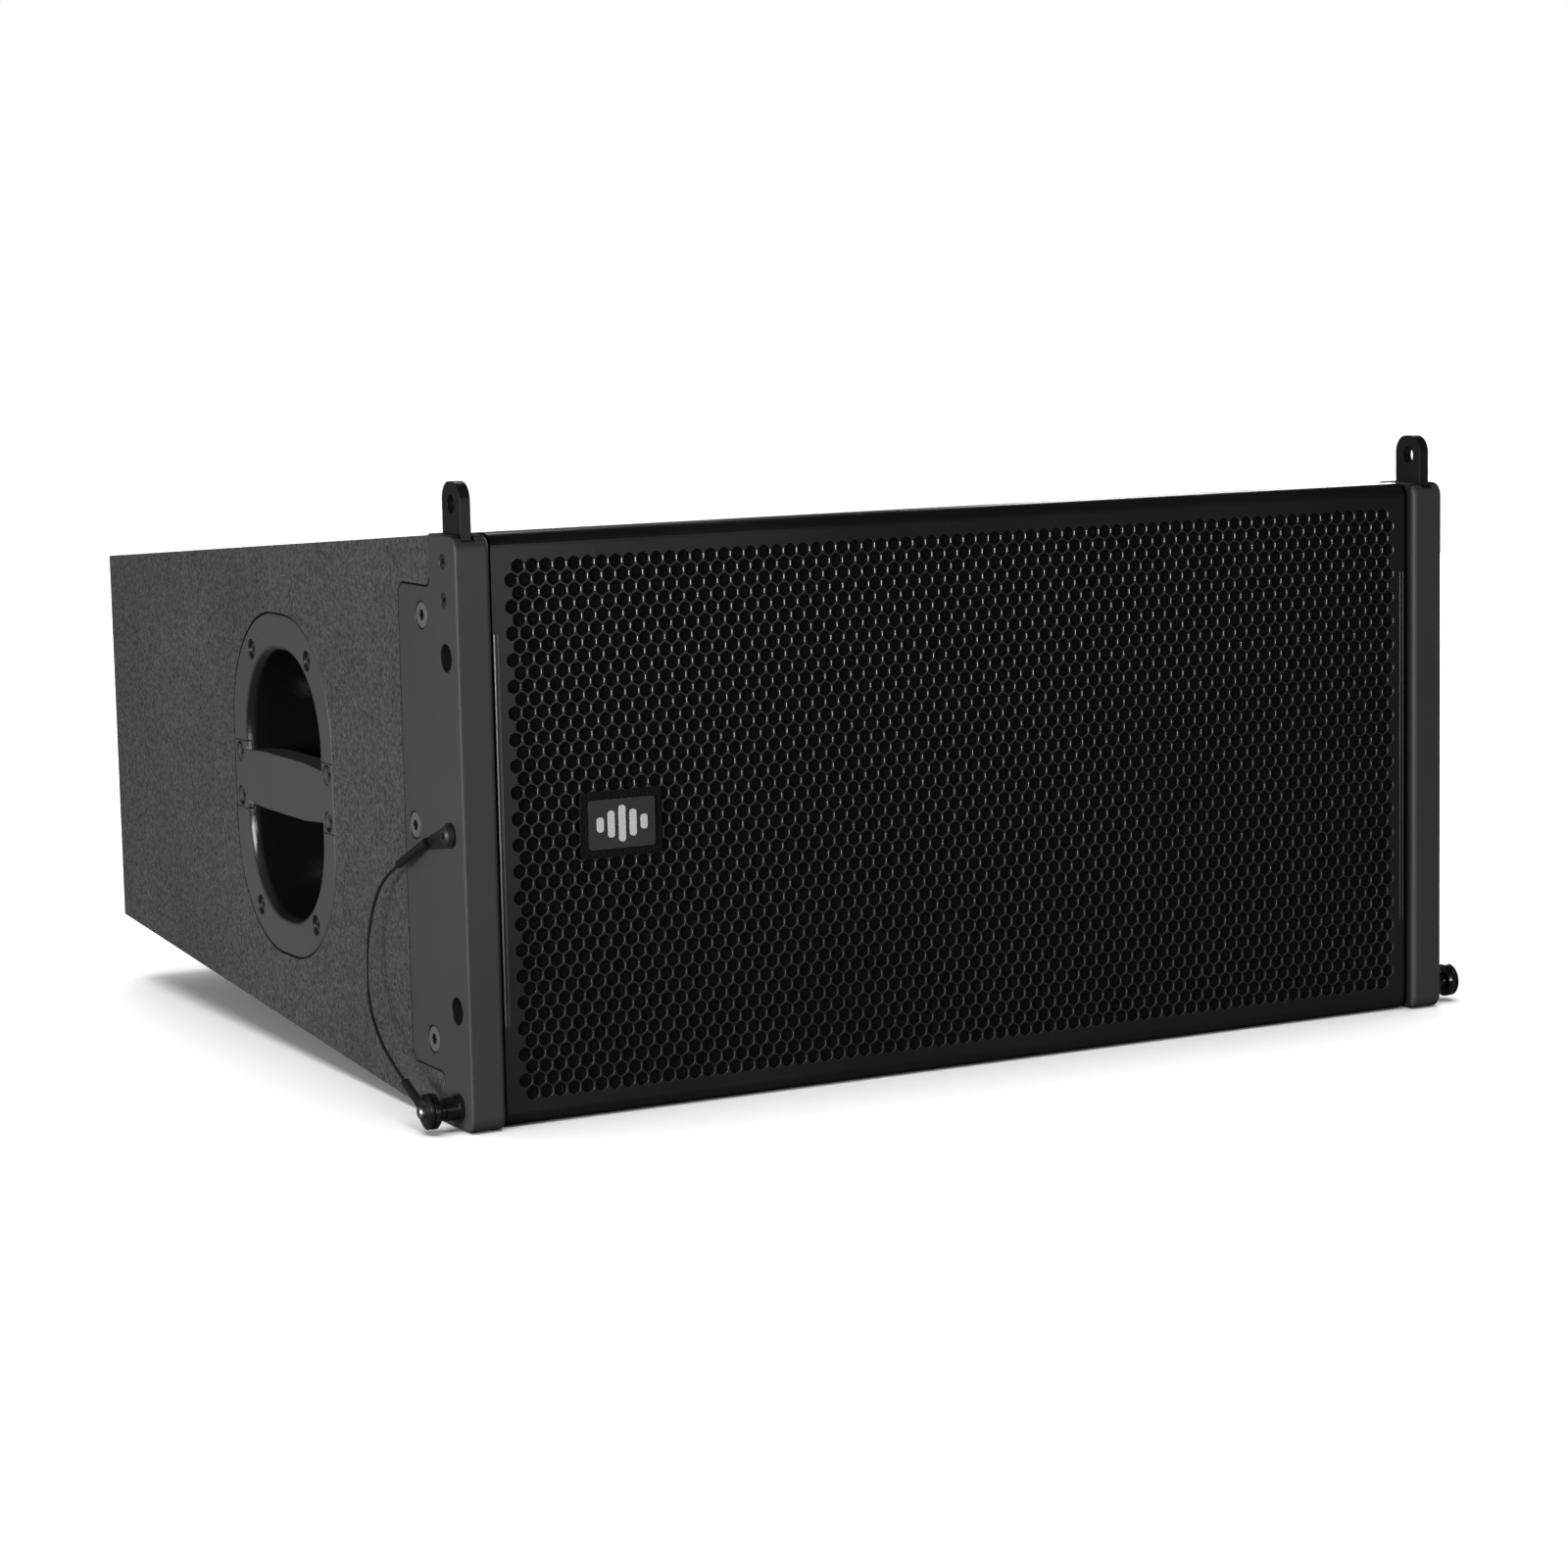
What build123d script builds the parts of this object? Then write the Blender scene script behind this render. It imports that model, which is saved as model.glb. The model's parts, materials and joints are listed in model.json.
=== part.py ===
from build123d import *
import os
from math import cos, pi, radians, sin, tan

# Compact passive two-way line array speaker: a wedge-shaped plywood cabinet with two 8 inch
# woofers beside a central high-frequency waveguide, steel rigging frames at the two front
# corners, a rear splay link and quick-release pins.
#
# The modelling frame has x to the right (seen from the front), y back from the front face of
# the rails, and z up from mid-height. save() moves everything to the part frame, whose origin
# is the bottom centre of the whole speaker's box. All sizes are in millimetres.

# Cabinet
WIDTH = 549.0
FRONT_HEIGHT = 273.0
REAR_HEIGHT = 202.0
CABINET_DEPTH = 485.0
BAND_DEPTH = 20.0            # flat band behind the front face, before the wedge starts
PLY = 15.0
BAFFLE_FRONT, BAFFLE_BACK = 42.0, 60.0
REAR_PANEL = 15.0
PANEL_START = 13.0           # front end of the top and bottom panels

# Rigging frames and lugs
RAIL_WIDTH, RAIL_DEPTH = 17.0, 30.0
FOLD_R = 6.5                 # round on the front's top and bottom edges
PLATE_T = 4.0
PLATE_BACK = 67.5
PLATE_HALF_H = 112.0
SEAM = 0.9                   # gap round the parts let into the sides
RAIL_OUTER_R, RAIL_INNER_R = 1.0, 2.0   # rounds on the rail's upright front edges
LUG_Y = 14.5
LUG_T, LUG_WIDTH = 5.2, 20.0
LUG_OUTSET = 5.0             # lug's outer face behind the side face
LUG_HOLE_Z = 150.3
LUG_TOP = 160.4
LUG_BOTTOM = 96.0
SOCKET_T, SOCKET_HALF, SOCKET_TOP = 7.2, 11.5, -109.0
ACCESS_R, ACCESS_Z, ACCESS_DEPTH = 6.5, 81.0, 15.0

# Countersunk screws
HEAD_SUNK, HEAD_GROOVE = 0.2, 0.11      # head below the face, and its groove as a share of its radius

# Quick-release pins
PIN_R, PIN_BORE_R = 4.2, 4.25
PIN_Z = -126.0
PIN_REACH = 20.5             # from the side face to the end of the push-button
BUTTON_R, BUTTON_BORE_R = 2.9, 2.95
BUTTON_PROUD, BUTTON_LENGTH = 2.2, 6.0

# Grille and badge
GRILLE_Y, GRILLE_T = 5.25, 1.5
GRILLE_HALF_W = 256.1
GRILLE_FLANGE = 18.0
FOAM_T, FOAM_HALF_H = 6.0, 126.5
BADGE_X, BADGE_W, BADGE_H, BADGE_T = -193.2, 34.0, 23.0, 1.0

# Handles
HANDLE_Y = 226.5
HANDLE_W, HANDLE_H, HANDLE_R = 135.0, 172.0, 60.0
CUP_W, CUP_H, CUP_R, CUP_DEPTH, CUP_WALL = 99.0, 134.4, 46.0, 50.0, 2.5
CUP_TAPER = 8.0
RIM_R, CUP_FLOOR_R, FLANGE_EDGE_R = 6.0, 12.0, 0.9
FLANGE_T = 3.0
RECESS = 1.2                 # depth of the cups round the handle's screws
BAR_HALF_H, BAR_MID_HALF_H, BAR_T = 12.5, 14.5, 18.0
TAB_HALF_H, TAB_SEAM = 17.2, 0.4        # grip bar's end tabs, let into the flange
HANDLE_SCREWS = [(38.2 * a, 65.8 * b) for a in (-1, 1) for b in (-1, 1)]
HANDLE_SCREWS += [(60.2 * a, 11.5 * b) for a in (-1, 1) for b in (-1, 1)]

# Woofers
WOOFER_X = 151.0
WOOFER_HOLE_R = 93.5
BASKET_R, BASKET_FRONT = 105.0, 35.5
COIL_R = 25.3
WOOFER_SCREWS = 8

# High-frequency unit
SLOT_W, SLOT_H = 60.0, 188.0
THROAT_R, THROAT_Y = 18.0, 150.0
HORN_WALL = 4.0
DRIVER_R, DRIVER_DEPTH = 58.0, 52.0

# Rear rigging
BRACKET_DEPTH = 30.0
BRACKET_HALF_H = 92.0
CHEEK_IN, CHEEK_T = 6.0, 5.0
LINK_T, LINK_WIDTH, LINK_LENGTH = 10.0, 22.0, 120.0
PIVOT_Z, PIVOT_OFFSET = 76.0, 17.0
PIVOT_R, PIVOT_BORE_R = 5.0, 5.05
SPLAY_HOLES = [(12.0, -64.0), (20.0, -74.0), (12.0, -84.0)]
REAR_PIN_HOLE = SPLAY_HOLES[1]

# Input plate, on the rear panel
INPUT_X = 150.0
INPUT_W, INPUT_H, INPUT_T = 116.0, 92.0, 2.0
CONNECTOR_XS = (INPUT_X - 24.0, INPUT_X + 24.0)
SOCKET_BORE_R, SOCKET_CORE_R, SOCKET_DEPTH = 11.5, 6.0, 17.0

# Crossover board, on the inside of the rear panel
BOARD_X, BOARD_W, BOARD_H, BOARD_T = -178.0, 130.0, 120.0, 2.0
BOARD_BACK = CABINET_DEPTH - REAR_PANEL - 8.0

# Safety lanyard of the left pin: a steel wire between two crimped sleeves
WIRE_R = 0.75
SLEEVE_R = 2.0
WIRE_ROUTE = [
    (-280.0, 64.0, -19.0),
    (-281.4, 79.0, -26.5),
    (-282.3, 91.0, -40.0),
    (-283.3, 97.8, -57.0),
    (-284.8, 98.4, -75.0),
    (-286.6, 90.0, -90.5),
    (-288.4, 76.0, -101.5),
    (-289.8, 58.5, -110.0),
    (-290.2, 41.0, -116.8),
]
UPPER_SLEEVE, LOWER_SLEEVE = 31.0, 20.0
LOOP_X = -290.4

HALF_W, HALF_H = WIDTH / 2, FRONT_HEIGHT / 2
SLOPE = (FRONT_HEIGHT - REAR_HEIGHT) / 2 / (CABINET_DEPTH - BAND_DEPTH)
INNER_X = HALF_W - RAIL_WIDTH
TOTAL_DEPTH = CABINET_DEPTH + BRACKET_DEPTH
PIVOT_Y = CABINET_DEPTH + PIVOT_OFFSET
REAR_FACE_X = -(CHEEK_IN + CHEEK_T)


# ---------------------------------------------------------------- shape helpers

def block(x0, x1, y0, y1, z0, z1):
    centre = Pos((x0 + x1) / 2, (y0 + y1) / 2, (z0 + z1) / 2)
    return centre * Box(x1 - x0, y1 - y0, z1 - z0)


def rod_x(r, x0, x1, y, z):
    return Pos((x0 + x1) / 2, y, z) * Rot(0, 90, 0) * Cylinder(r, x1 - x0)


def rod_y(r, y0, y1, x, z):
    return Pos(x, (y0 + y1) / 2, z) * Rot(90, 0, 0) * Cylinder(r, y1 - y0)


def rod_z(r, z0, z1, x, y):
    return Pos(x, y, (z0 + z1) / 2) * Cylinder(r, z1 - z0)


def side_slab(points, x0, x1):
    """A slab between two x planes, from its (y, z) outline."""
    return extrude(Plane.YZ.offset(x0) * Polygon(*points, align=None), x1 - x0, dir=(1, 0, 0))


def front_slab(sketch, y0, y1):
    """A slab between two y planes, from a sketch drawn in x and z."""
    return extrude(Plane.XZ.offset(-y0) * sketch, y1 - y0, dir=(0, 1, 0))


def turned_x(points):
    """A solid of revolution about the x axis, from (x, r) points."""
    return revolve(Polygon(*points, align=None), Axis.X)


def turned_y(points):
    """A solid of revolution about the y axis, from (r, y) points."""
    return revolve(Polygon(*points, align=None), Axis.Y)


def cut(host, tools):
    for tool in tools:
        host = host - tool
    return host


def mirrored(shape):
    return mirror(shape, about=Plane.YZ)


def both_sides(shapes):
    return list(shapes) + [mirrored(s) for s in shapes]


def save(name, *solids):
    group = solids[0] if len(solids) == 1 else Compound(children=list(solids))
    export_step(Pos(0, -TOTAL_DEPTH / 2, HALF_H) * group, f"parts/{name}.step")


def roof(y):
    """Height of the cabinet's outer top face at depth y; the bottom face mirrors it."""
    return HALF_H - max(0.0, y - BAND_DEPTH) * SLOPE


def ceiling(y):
    return roof(y) - PLY


# ---------------------------------------------------------------- screws

def screw_blank_x(x_face, y, z, head_r, shank_r, length):
    """A countersunk screw along x with a plain head, flush with x_face: the shape of its hole."""
    head_depth = head_r - shank_r
    profile = [(0, 0), (0, head_r), (0.4, head_r), (0.4 + head_depth, shank_r)]
    profile += [(length, shank_r), (length, 0)]
    return Pos(x_face, y, z) * turned_x(profile)


def socket_screw_x(x_face, y, z, head_r, shank_r, length):
    """The screw in that hole: its hexagon-socket head is a little smaller, so a fine groove shows."""
    sunk, groove = HEAD_SUNK, head_r * HEAD_GROOVE
    top_r = head_r - groove
    profile = [
        (sunk, 0), (sunk, top_r - groove / 3), (sunk + groove / 3, top_r), (0.4 + groove, top_r),
        (0.4 + head_r - shank_r, shank_r), (length, shank_r), (length, 0),
    ]
    key = extrude(Plane.YZ * RegularPolygon(head_r * 0.42, 6), head_r * 0.65, dir=(1, 0, 0))
    return Pos(x_face, y, z) * (turned_x(profile) - key)


def pan_screw_y(x, y_face, z, head_r, shank_r, length, outward):
    """A pan-head screw along y, its head standing on y_face towards outward (+1 or -1)."""
    head = head_r * 0.55
    profile = [(0, -length), (shank_r, -length), (shank_r, 0), (head_r, 0)]
    profile += [(head_r, head * 0.5), (head_r * 0.6, head), (0, head)]
    screw = turned_y(profile)
    key = Pos(0, head, 0) * Rot(90, 0, 0) * extrude(RegularPolygon(head_r * 0.4, 6), head, both=True)
    screw = screw - key
    if outward < 0:
        screw = Rot(0, 0, 180) * screw
    return Pos(x, y_face, z) * screw


# ---------------------------------------------------------------- rigging frames and lugs

def plate_outline():
    """Outline of the side plate; a small round joins it to the rail above and below."""
    upper = [
        (RAIL_DEPTH - 1, PLATE_HALF_H + 4), (RAIL_DEPTH, PLATE_HALF_H + 4),
        (RAIL_DEPTH + 1.2, PLATE_HALF_H + 1.2), (RAIL_DEPTH + 4, PLATE_HALF_H),
        (PLATE_BACK - 4, PLATE_HALF_H), (PLATE_BACK, PLATE_HALF_H - 4),
    ]
    return upper + [(y, -z) for y, z in reversed(upper)]


def frame_screws(make=socket_screw_x):
    """The left side plate's three countersunk screws, or their holes."""
    places = [(41.0, 98.7), (56.4, 0.0), (42.4, -98.7)]
    return [make(-HALF_W, y, z, 6.75, 3.9, 15.0) for y, z in places]


def lug_screws(make=socket_screw_x):
    """The left lug's two screws, or their holes."""
    return [make(-HALF_W, LUG_Y, z, 3.4, 2.4, 12.0) for z in (124.6, 107.1)]


def lanyard_screw():
    """Button-head screw through the lanyard's eye; its plain fellow is on the right side."""
    proud = 4.2
    profile = [(-12, 0), (-12, 3), (1.5, 3), (1.5, 4.9), (proud - 1, 4.4), (proud, 3.0), (proud, 0)]
    screw = mirrored(turned_x(profile))
    key = rod_x(1.7, -proud - 1, -proud + 1.8, 0, 0)
    return Pos(-HALF_W, LUG_Y, 0) * (screw - key)


def lug():
    """Flat bar with a round end and a pin hole, let into the rail's top."""
    x0 = -HALF_W + LUG_OUTSET
    half = LUG_WIDTH / 2
    bar = block(x0, x0 + LUG_T, LUG_Y - half, LUG_Y + half, LUG_BOTTOM, LUG_TOP)
    ends = bar.edges().filter_by(Axis.X).group_by(Axis.Z)[-1]
    bar = fillet(ends, half - 1.5)
    bar = bar - rod_x(PIN_BORE_R, x0 - 1, x0 + LUG_T + 1, LUG_Y, LUG_HOLE_Z)
    return cut(bar, lug_screws(screw_blank_x))


def rig_frame():
    """Left front rail with its side plate, lug pocket, pin bore and lug socket."""
    x0, x1 = -HALF_W, -INNER_X
    rail = block(x0, x1, 0, RAIL_DEPTH, -HALF_H, HALF_H)
    rail = fillet(rail.edges().filter_by(Axis.X).group_by(Axis.Y)[0], FOLD_R)
    rail = fillet(rail.edges().filter_by(Axis.Z).group_by(Axis.Y)[0].sort_by(Axis.X)[-1], RAIL_INNER_R)
    rail = fillet(rail.edges().filter_by(Axis.Z).group_by(Axis.Y)[0].sort_by(Axis.X)[0], RAIL_OUTER_R)
    frame = rail + side_slab(plate_outline(), x0, x0 + PLATE_T)
    pocket_x = x0 + LUG_OUTSET
    half = LUG_WIDTH / 2
    pocket = block(pocket_x, pocket_x + LUG_T, LUG_Y - half, LUG_Y + half, LUG_BOTTOM, HALF_H + 1)
    mouth = block(
        pocket_x - 1, pocket_x + LUG_T + 1, LUG_Y - half - 3, LUG_Y + half + 1, HALF_H - 7, HALF_H + 1
    )
    slot_x = x0 + LUG_OUTSET - 1
    socket = block(
        slot_x, slot_x + SOCKET_T, LUG_Y - SOCKET_HALF, LUG_Y + SOCKET_HALF, -HALF_H - 1, SOCKET_TOP
    )
    bore = rod_x(PIN_BORE_R, x0 - 1, x1 - 0.8, LUG_Y, PIN_Z)
    access = [
        rod_x(ACCESS_R, x0 - 1, x0 + ACCESS_DEPTH, LUG_Y - 0.8, z) for z in (-ACCESS_Z, ACCESS_Z)
    ]
    tools = [pocket, mouth, socket, bore, lanyard_screw()] + access
    return cut(frame, tools + lug_screws(screw_blank_x) + frame_screws(screw_blank_x))


# ---------------------------------------------------------------- quick-release pins

def pin(face_x, length=15.8):
    """A ball-lock pin with its knob towards -x and its shoulder on face_x, about the x axis."""
    knob_in, knob_out = 11.6, PIN_REACH - BUTTON_PROUD
    profile = [
        (length, 0), (length, PIN_R - 0.5), (length - 0.5, PIN_R), (0, PIN_R), (0, 6.6), (-2.6, 6.6),
        (-2.6, 5.6), (-8.2, 5.6), (-8.2, 4.7), (-knob_in + 0.8, 4.7), (-knob_in, 7.2),
        (-knob_in - 1.2, 8.4), (-knob_in - 3.4, 8.4), (-knob_in - 3.4, 6.4), (-knob_in - 5.2, 6.4),
        (-knob_in - 5.2, 8.3), (-knob_out + 0.9, 7.2), (-knob_out, 5.6), (-knob_out, 0),
    ]
    body = turned_x(profile)
    balls = [Pos(length - 2.6, 0, s * (PIN_R - 1.17)) * Sphere(1.2) for s in (-1, 1)]
    body = body + balls[0] + balls[1]
    depth = BUTTON_LENGTH + 1.2
    body = body - rod_x(BUTTON_BORE_R, -knob_out - 1, -knob_out + depth, 0, 0)
    return Pos(face_x, 0, 0) * body


def pin_button(face_x):
    """The pin's release button, standing out of the knob's end."""
    tip = -PIN_REACH
    profile = [(tip, 0), (tip, BUTTON_R - 0.6), (tip + 0.6, BUTTON_R)]
    profile += [(tip + BUTTON_LENGTH, BUTTON_R), (tip + BUTTON_LENGTH, 0)]
    return Pos(face_x, 0, 0) * turned_x(profile)


# ---------------------------------------------------------------- cabinet panels

def roof_panel():
    lip = HALF_H - GRILLE_T
    outline = [
        (PANEL_START, HALF_H - 9), (PANEL_START + 4.5, lip), (GRILLE_FLANGE, lip),
        (GRILLE_FLANGE, HALF_H), (BAND_DEPTH, HALF_H), (CABINET_DEPTH, roof(CABINET_DEPTH)),
        (CABINET_DEPTH, ceiling(CABINET_DEPTH)), (BAND_DEPTH, HALF_H - PLY), (PANEL_START, HALF_H - PLY),
    ]
    return side_slab(outline, -INNER_X, INNER_X)


def inner_slab(y0, y1, x0, x1):
    """A slab across the cabinet's inside, from floor to ceiling, between two x planes."""
    outline = [(y0, -ceiling(y0)), (y1, -ceiling(y1)), (y1, ceiling(y1)), (y0, ceiling(y0))]
    return side_slab(outline, x0, x1)


def handle_sketch(grow=0.0):
    return RectangleRounded(HANDLE_W + 2 * grow, HANDLE_H + 2 * grow, HANDLE_R + grow)


def cup_sketch(grow=0.0):
    return RectangleRounded(CUP_W + 2 * grow, CUP_H + 2 * grow, CUP_R + grow)


def on_left_side(depth):
    """The plane of the left side face, moved inwards by depth; its normal points inwards."""
    return Plane((-HALF_W + depth, HANDLE_Y, 0), x_dir=(0, 1, 0), z_dir=(1, 0, 0))


def side_panel():
    """Left side panel, with its pockets for the rigging plate and the handle."""
    outline = [(RAIL_DEPTH, -roof(RAIL_DEPTH)), (CABINET_DEPTH, -roof(CABINET_DEPTH))]
    outline += [(CABINET_DEPTH, roof(CABINET_DEPTH)), (RAIL_DEPTH, roof(RAIL_DEPTH))]
    panel = side_slab(outline, -HALF_W, -INNER_X)
    plate = Plane.YZ.offset(-HALF_W - 1) * Polygon(*plate_outline(), align=None)
    panel = panel - extrude(offset(plate, SEAM), PLATE_T + 1, dir=(1, 0, 0))
    panel = panel - extrude(on_left_side(-1) * handle_sketch(SEAM), FLANGE_T + 1)
    panel = panel - extrude(on_left_side(0) * cup_sketch(CUP_WALL), RAIL_WIDTH)
    return cut(panel, frame_screws(screw_blank_x) + handle_screws(screw_blank_x))


# ---------------------------------------------------------------- handles

def handle_screws(make=socket_screw_x):
    """Eight flat-head screws round the left handle, in cupped recesses, or their holes."""
    face = -HALF_W + RECESS
    return [make(face, HANDLE_Y + y, z, 3.6, 1.9, 12.0) for y, z in HANDLE_SCREWS]


def tab_block(half_h):
    """The band across the flange that the grip bar's end tabs fill."""
    return extrude(on_left_side(-1) * Rectangle(HANDLE_W + 2, 2 * half_h), FLANGE_T + 1)


def handle_parts():
    """Left handle, an oval flange with a deep finger cup, and its grip bar with two end tabs."""
    flange = extrude(on_left_side(0) * handle_sketch(), FLANGE_T)
    flange = fillet(flange.edges().group_by(Axis.X)[0], FLANGE_EDGE_R)
    cup = extrude(on_left_side(0) * cup_sketch(CUP_WALL), CUP_DEPTH, taper=CUP_TAPER)
    cup = fillet(cup.edges().group_by(Axis.X)[-1], CUP_FLOOR_R + CUP_WALL)
    hollow = extrude(on_left_side(-0.01) * cup_sketch(), CUP_DEPTH - CUP_WALL, taper=CUP_TAPER)
    hollow = fillet(hollow.edges().group_by(Axis.X)[-1], CUP_FLOOR_R)
    outer = flange + cup
    body = outer - hollow
    mouth = [
        e for e in body.edges().group_by(Axis.X)[0]
        if abs(e.center().Y - HANDLE_Y) < CUP_W / 2 + 1 and abs(e.center().Z) < CUP_H / 2 + 1
    ]
    body = fillet(mouth, RIM_R)
    half_w = CUP_W / 2 + RIM_R + 1
    bar = Polygon(
        (-half_w, -BAR_HALF_H), (-half_w / 2, -BAR_MID_HALF_H), (half_w / 2, -BAR_MID_HALF_H),
        (half_w, -BAR_HALF_H), (half_w, BAR_HALF_H), (half_w / 2, BAR_MID_HALF_H),
        (-half_w / 2, BAR_MID_HALF_H), (-half_w, BAR_HALF_H), align=None,
    )
    grip = extrude(on_left_side(0) * bar, BAR_T)
    grip = fillet(grip.edges().filter_by(Plane.YZ).group_by(Axis.X)[-1], 5.0)
    shell = body - tab_block(TAB_HALF_H + TAB_SEAM)
    grip = ((grip & outer) - shell) + (body & tab_block(TAB_HALF_H))
    tools = [
        rod_x(5.2, -HALF_W - 1, -HALF_W + RECESS, HANDLE_Y + y, z) for y, z in HANDLE_SCREWS
    ]
    tools += handle_screws(screw_blank_x)
    return cut(shell, tools), cut(grip, tools)


# ---------------------------------------------------------------- grille and badge

def grille():
    """Folded sheet over the whole front; its perforation is part of the finish."""
    w = GRILLE_HALF_W
    outer = block(-w, w, GRILLE_Y, GRILLE_FLANGE, -HALF_H, HALF_H)
    outer = fillet(outer.edges().filter_by(Axis.X).group_by(Axis.Y)[0], FOLD_R)
    inside = HALF_H - GRILLE_T
    inner = block(-w - 1, w + 1, GRILLE_Y + GRILLE_T, GRILLE_FLANGE + 5, -inside, inside)
    inner = fillet(inner.edges().filter_by(Axis.X).group_by(Axis.Y)[0], FOLD_R - GRILLE_T)
    return outer - inner


def grille_foam():
    y0 = GRILLE_Y + GRILLE_T
    return block(-GRILLE_HALF_W + 1, GRILLE_HALF_W - 1, y0, y0 + FOAM_T, -FOAM_HALF_H, FOAM_HALF_H)


def badge_plate():
    plate = Pos(BADGE_X, 0) * RectangleRounded(BADGE_W, BADGE_H, 1.5)
    return front_slab(plate, GRILLE_Y - BADGE_T, GRILLE_Y)


def badge_emblem():
    """A plain level-meter mark: five upright bars."""
    pitch, width = 5.6, 3.4
    heights = (7.0, 12.5, 17.0, 12.5, 7.0)
    front = GRILLE_Y - BADGE_T - 0.4
    return [
        front_slab(Pos(BADGE_X + (i - 2) * pitch, 0) * RectangleRounded(width, h, 1.5), front, front + 0.4)
        for i, h in enumerate(heights)
    ]


# ---------------------------------------------------------------- woofers, about the y axis

def basket_screws():
    """Screws of one woofer, about its own axis."""
    ring = 100.8
    turns = [2 * pi * (i + 0.5) / WOOFER_SCREWS for i in range(WOOFER_SCREWS)]
    return [
        pan_screw_y(ring * cos(t), BASKET_FRONT, ring * sin(t), 3.4, 2.0, 20.0, -1) for t in turns
    ]


def basket():
    frame = turned_y([
        (BASKET_R, BASKET_FRONT), (BASKET_R, BAFFLE_FRONT), (93, BAFFLE_FRONT), (93, 48), (66, 94),
        (66, 104), (34, 104), (34, 100), (58, 100), (58, 95), (62.5, 95), (62.5, 91), (89, 47),
        (89, BAFFLE_FRONT), (91, 39), (91, BASKET_FRONT),
    ])
    windows = [Rot(0, 60 * i, 0) * Pos(78, 70, 0) * Box(60, 30, 50) for i in range(6)]
    return cut(frame, windows + basket_screws())


def surround():
    """Half-roll rubber edge between the basket and the cone."""
    back, mid = BASKET_FRONT, 85.3
    roll = Pos(mid, back) * (Circle(5.5) - Circle(4.2))
    roll = roll & (Pos(mid, back - 5) * Rectangle(20, 10))
    lips = Pos(mid + 7.8, back - 0.65) * Rectangle(6.4, 1.3)
    lips += Pos(mid - 7.8, back - 0.65) * Rectangle(6.4, 1.3)
    return revolve(roll + lips, Axis.Y)


def cone():
    """Paper cone with its lip and dust cap."""
    lip = BASKET_FRONT + 0.3
    shell = turned_y([
        (80.2, lip), (80.2, lip + 1.2), (75.6, lip + 1.2), (26.6, 88), (COIL_R, 88), (COIL_R, 86.2),
        (74.5, lip),
    ])
    cap_r, cap_y, ball = 37.0, 142.0, 76.0
    dome = Pos(0, cap_y) * (Circle(ball) - Circle(ball - 1.2))
    dome = dome & (Pos(cap_r / 2, cap_y - ball + 4.4) * Rectangle(cap_r, 12))
    return shell + revolve(dome, Axis.Y)


def voice_coil():
    return turned_y([
        (COIL_R - 0.5, 84), (COIL_R, 84), (COIL_R, 102), (COIL_R + 0.9, 102), (COIL_R + 0.9, 114),
        (COIL_R, 114), (COIL_R, 116), (COIL_R - 0.5, 116),
    ])


def spider():
    """Flat suspension ring with three shallow corrugations."""
    y, inner, outer, t = 93.8, COIL_R + 0.3, 62.3, 1.2
    front = [(inner, y)]
    for i in range(3):
        start = inner + 5 + i * 10
        front += [(start, y), (start + 2.5, y - 2.2), (start + 5, y)]
    front.append((outer, y))
    return turned_y(front + [(r, level + t) for r, level in reversed(front)])


def magnet():
    """Top plate, ferrite ring, and back plate with its vented pole piece."""
    top = turned_y([(27, 104), (64, 104), (64, 112), (27, 112)])
    ferrite = turned_y([(34, 112), (70, 112), (70, 130), (34, 130)])
    yoke = turned_y([(8, 104), (24.2, 104), (24.2, 130), (66, 130), (66, 138), (8, 138)])
    return [top, ferrite, yoke]


# ---------------------------------------------------------------- high-frequency unit

def horn_section(y, grow):
    return Plane.XZ.offset(-y) * RectangleRounded(SLOT_W + 2 * grow, SLOT_H + 2 * grow, 8)


def throat_section(y, grow):
    return Plane.XZ.offset(-y) * Circle(THROAT_R + grow)


def waveguide_screws():
    places = [(x, z) for x in (-38, 38) for z in (-82, 0, 82)]
    return [pan_screw_y(x, BAFFLE_FRONT - 5, z, 2.8, 1.7, 18.0, -1) for x, z in places]


def driver_bolts():
    places = [(38 * cos(a), 38 * sin(a)) for a in (radians(45 + 90 * i) for i in range(4))]
    return [pan_screw_y(x, THROAT_Y - 8, z, 3.4, 2.4, 20.0, -1) for x, z in places]


def waveguide():
    mouth = BAFFLE_FRONT - 5
    flange = front_slab(RectangleRounded(88, 210, 6), mouth, BAFFLE_FRONT)
    horn = loft([horn_section(mouth + 1, HORN_WALL), throat_section(THROAT_Y, HORN_WALL)])
    passage = loft([horn_section(mouth, 0), throat_section(THROAT_Y, 0)])
    ring = rod_y(48, THROAT_Y - 8, THROAT_Y, 0, 0)
    body = flange + horn + ring - passage
    return cut(body, waveguide_screws() + driver_bolts())


def compression_driver():
    y0 = THROAT_Y
    body = turned_y([
        (THROAT_R, y0), (50, y0), (50, y0 + 8), (DRIVER_R, y0 + 12), (DRIVER_R, y0 + 34),
        (50, y0 + 36), (44, y0 + DRIVER_DEPTH - 4), (38, y0 + DRIVER_DEPTH), (0, y0 + DRIVER_DEPTH),
        (0, y0 + 20), (THROAT_R, y0 + 14),
    ])
    return cut(body, driver_bolts())


# ---------------------------------------------------------------- inside the cabinet

def brace():
    """Left upright brace behind the woofer, with a round window."""
    y0, y1 = 235.0, CABINET_DEPTH - REAR_PANEL
    return inner_slab(y0, y1, -101.0, -89.0) - rod_x(52.0, -110, -80, (y0 + y1) / 2, 0)


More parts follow.
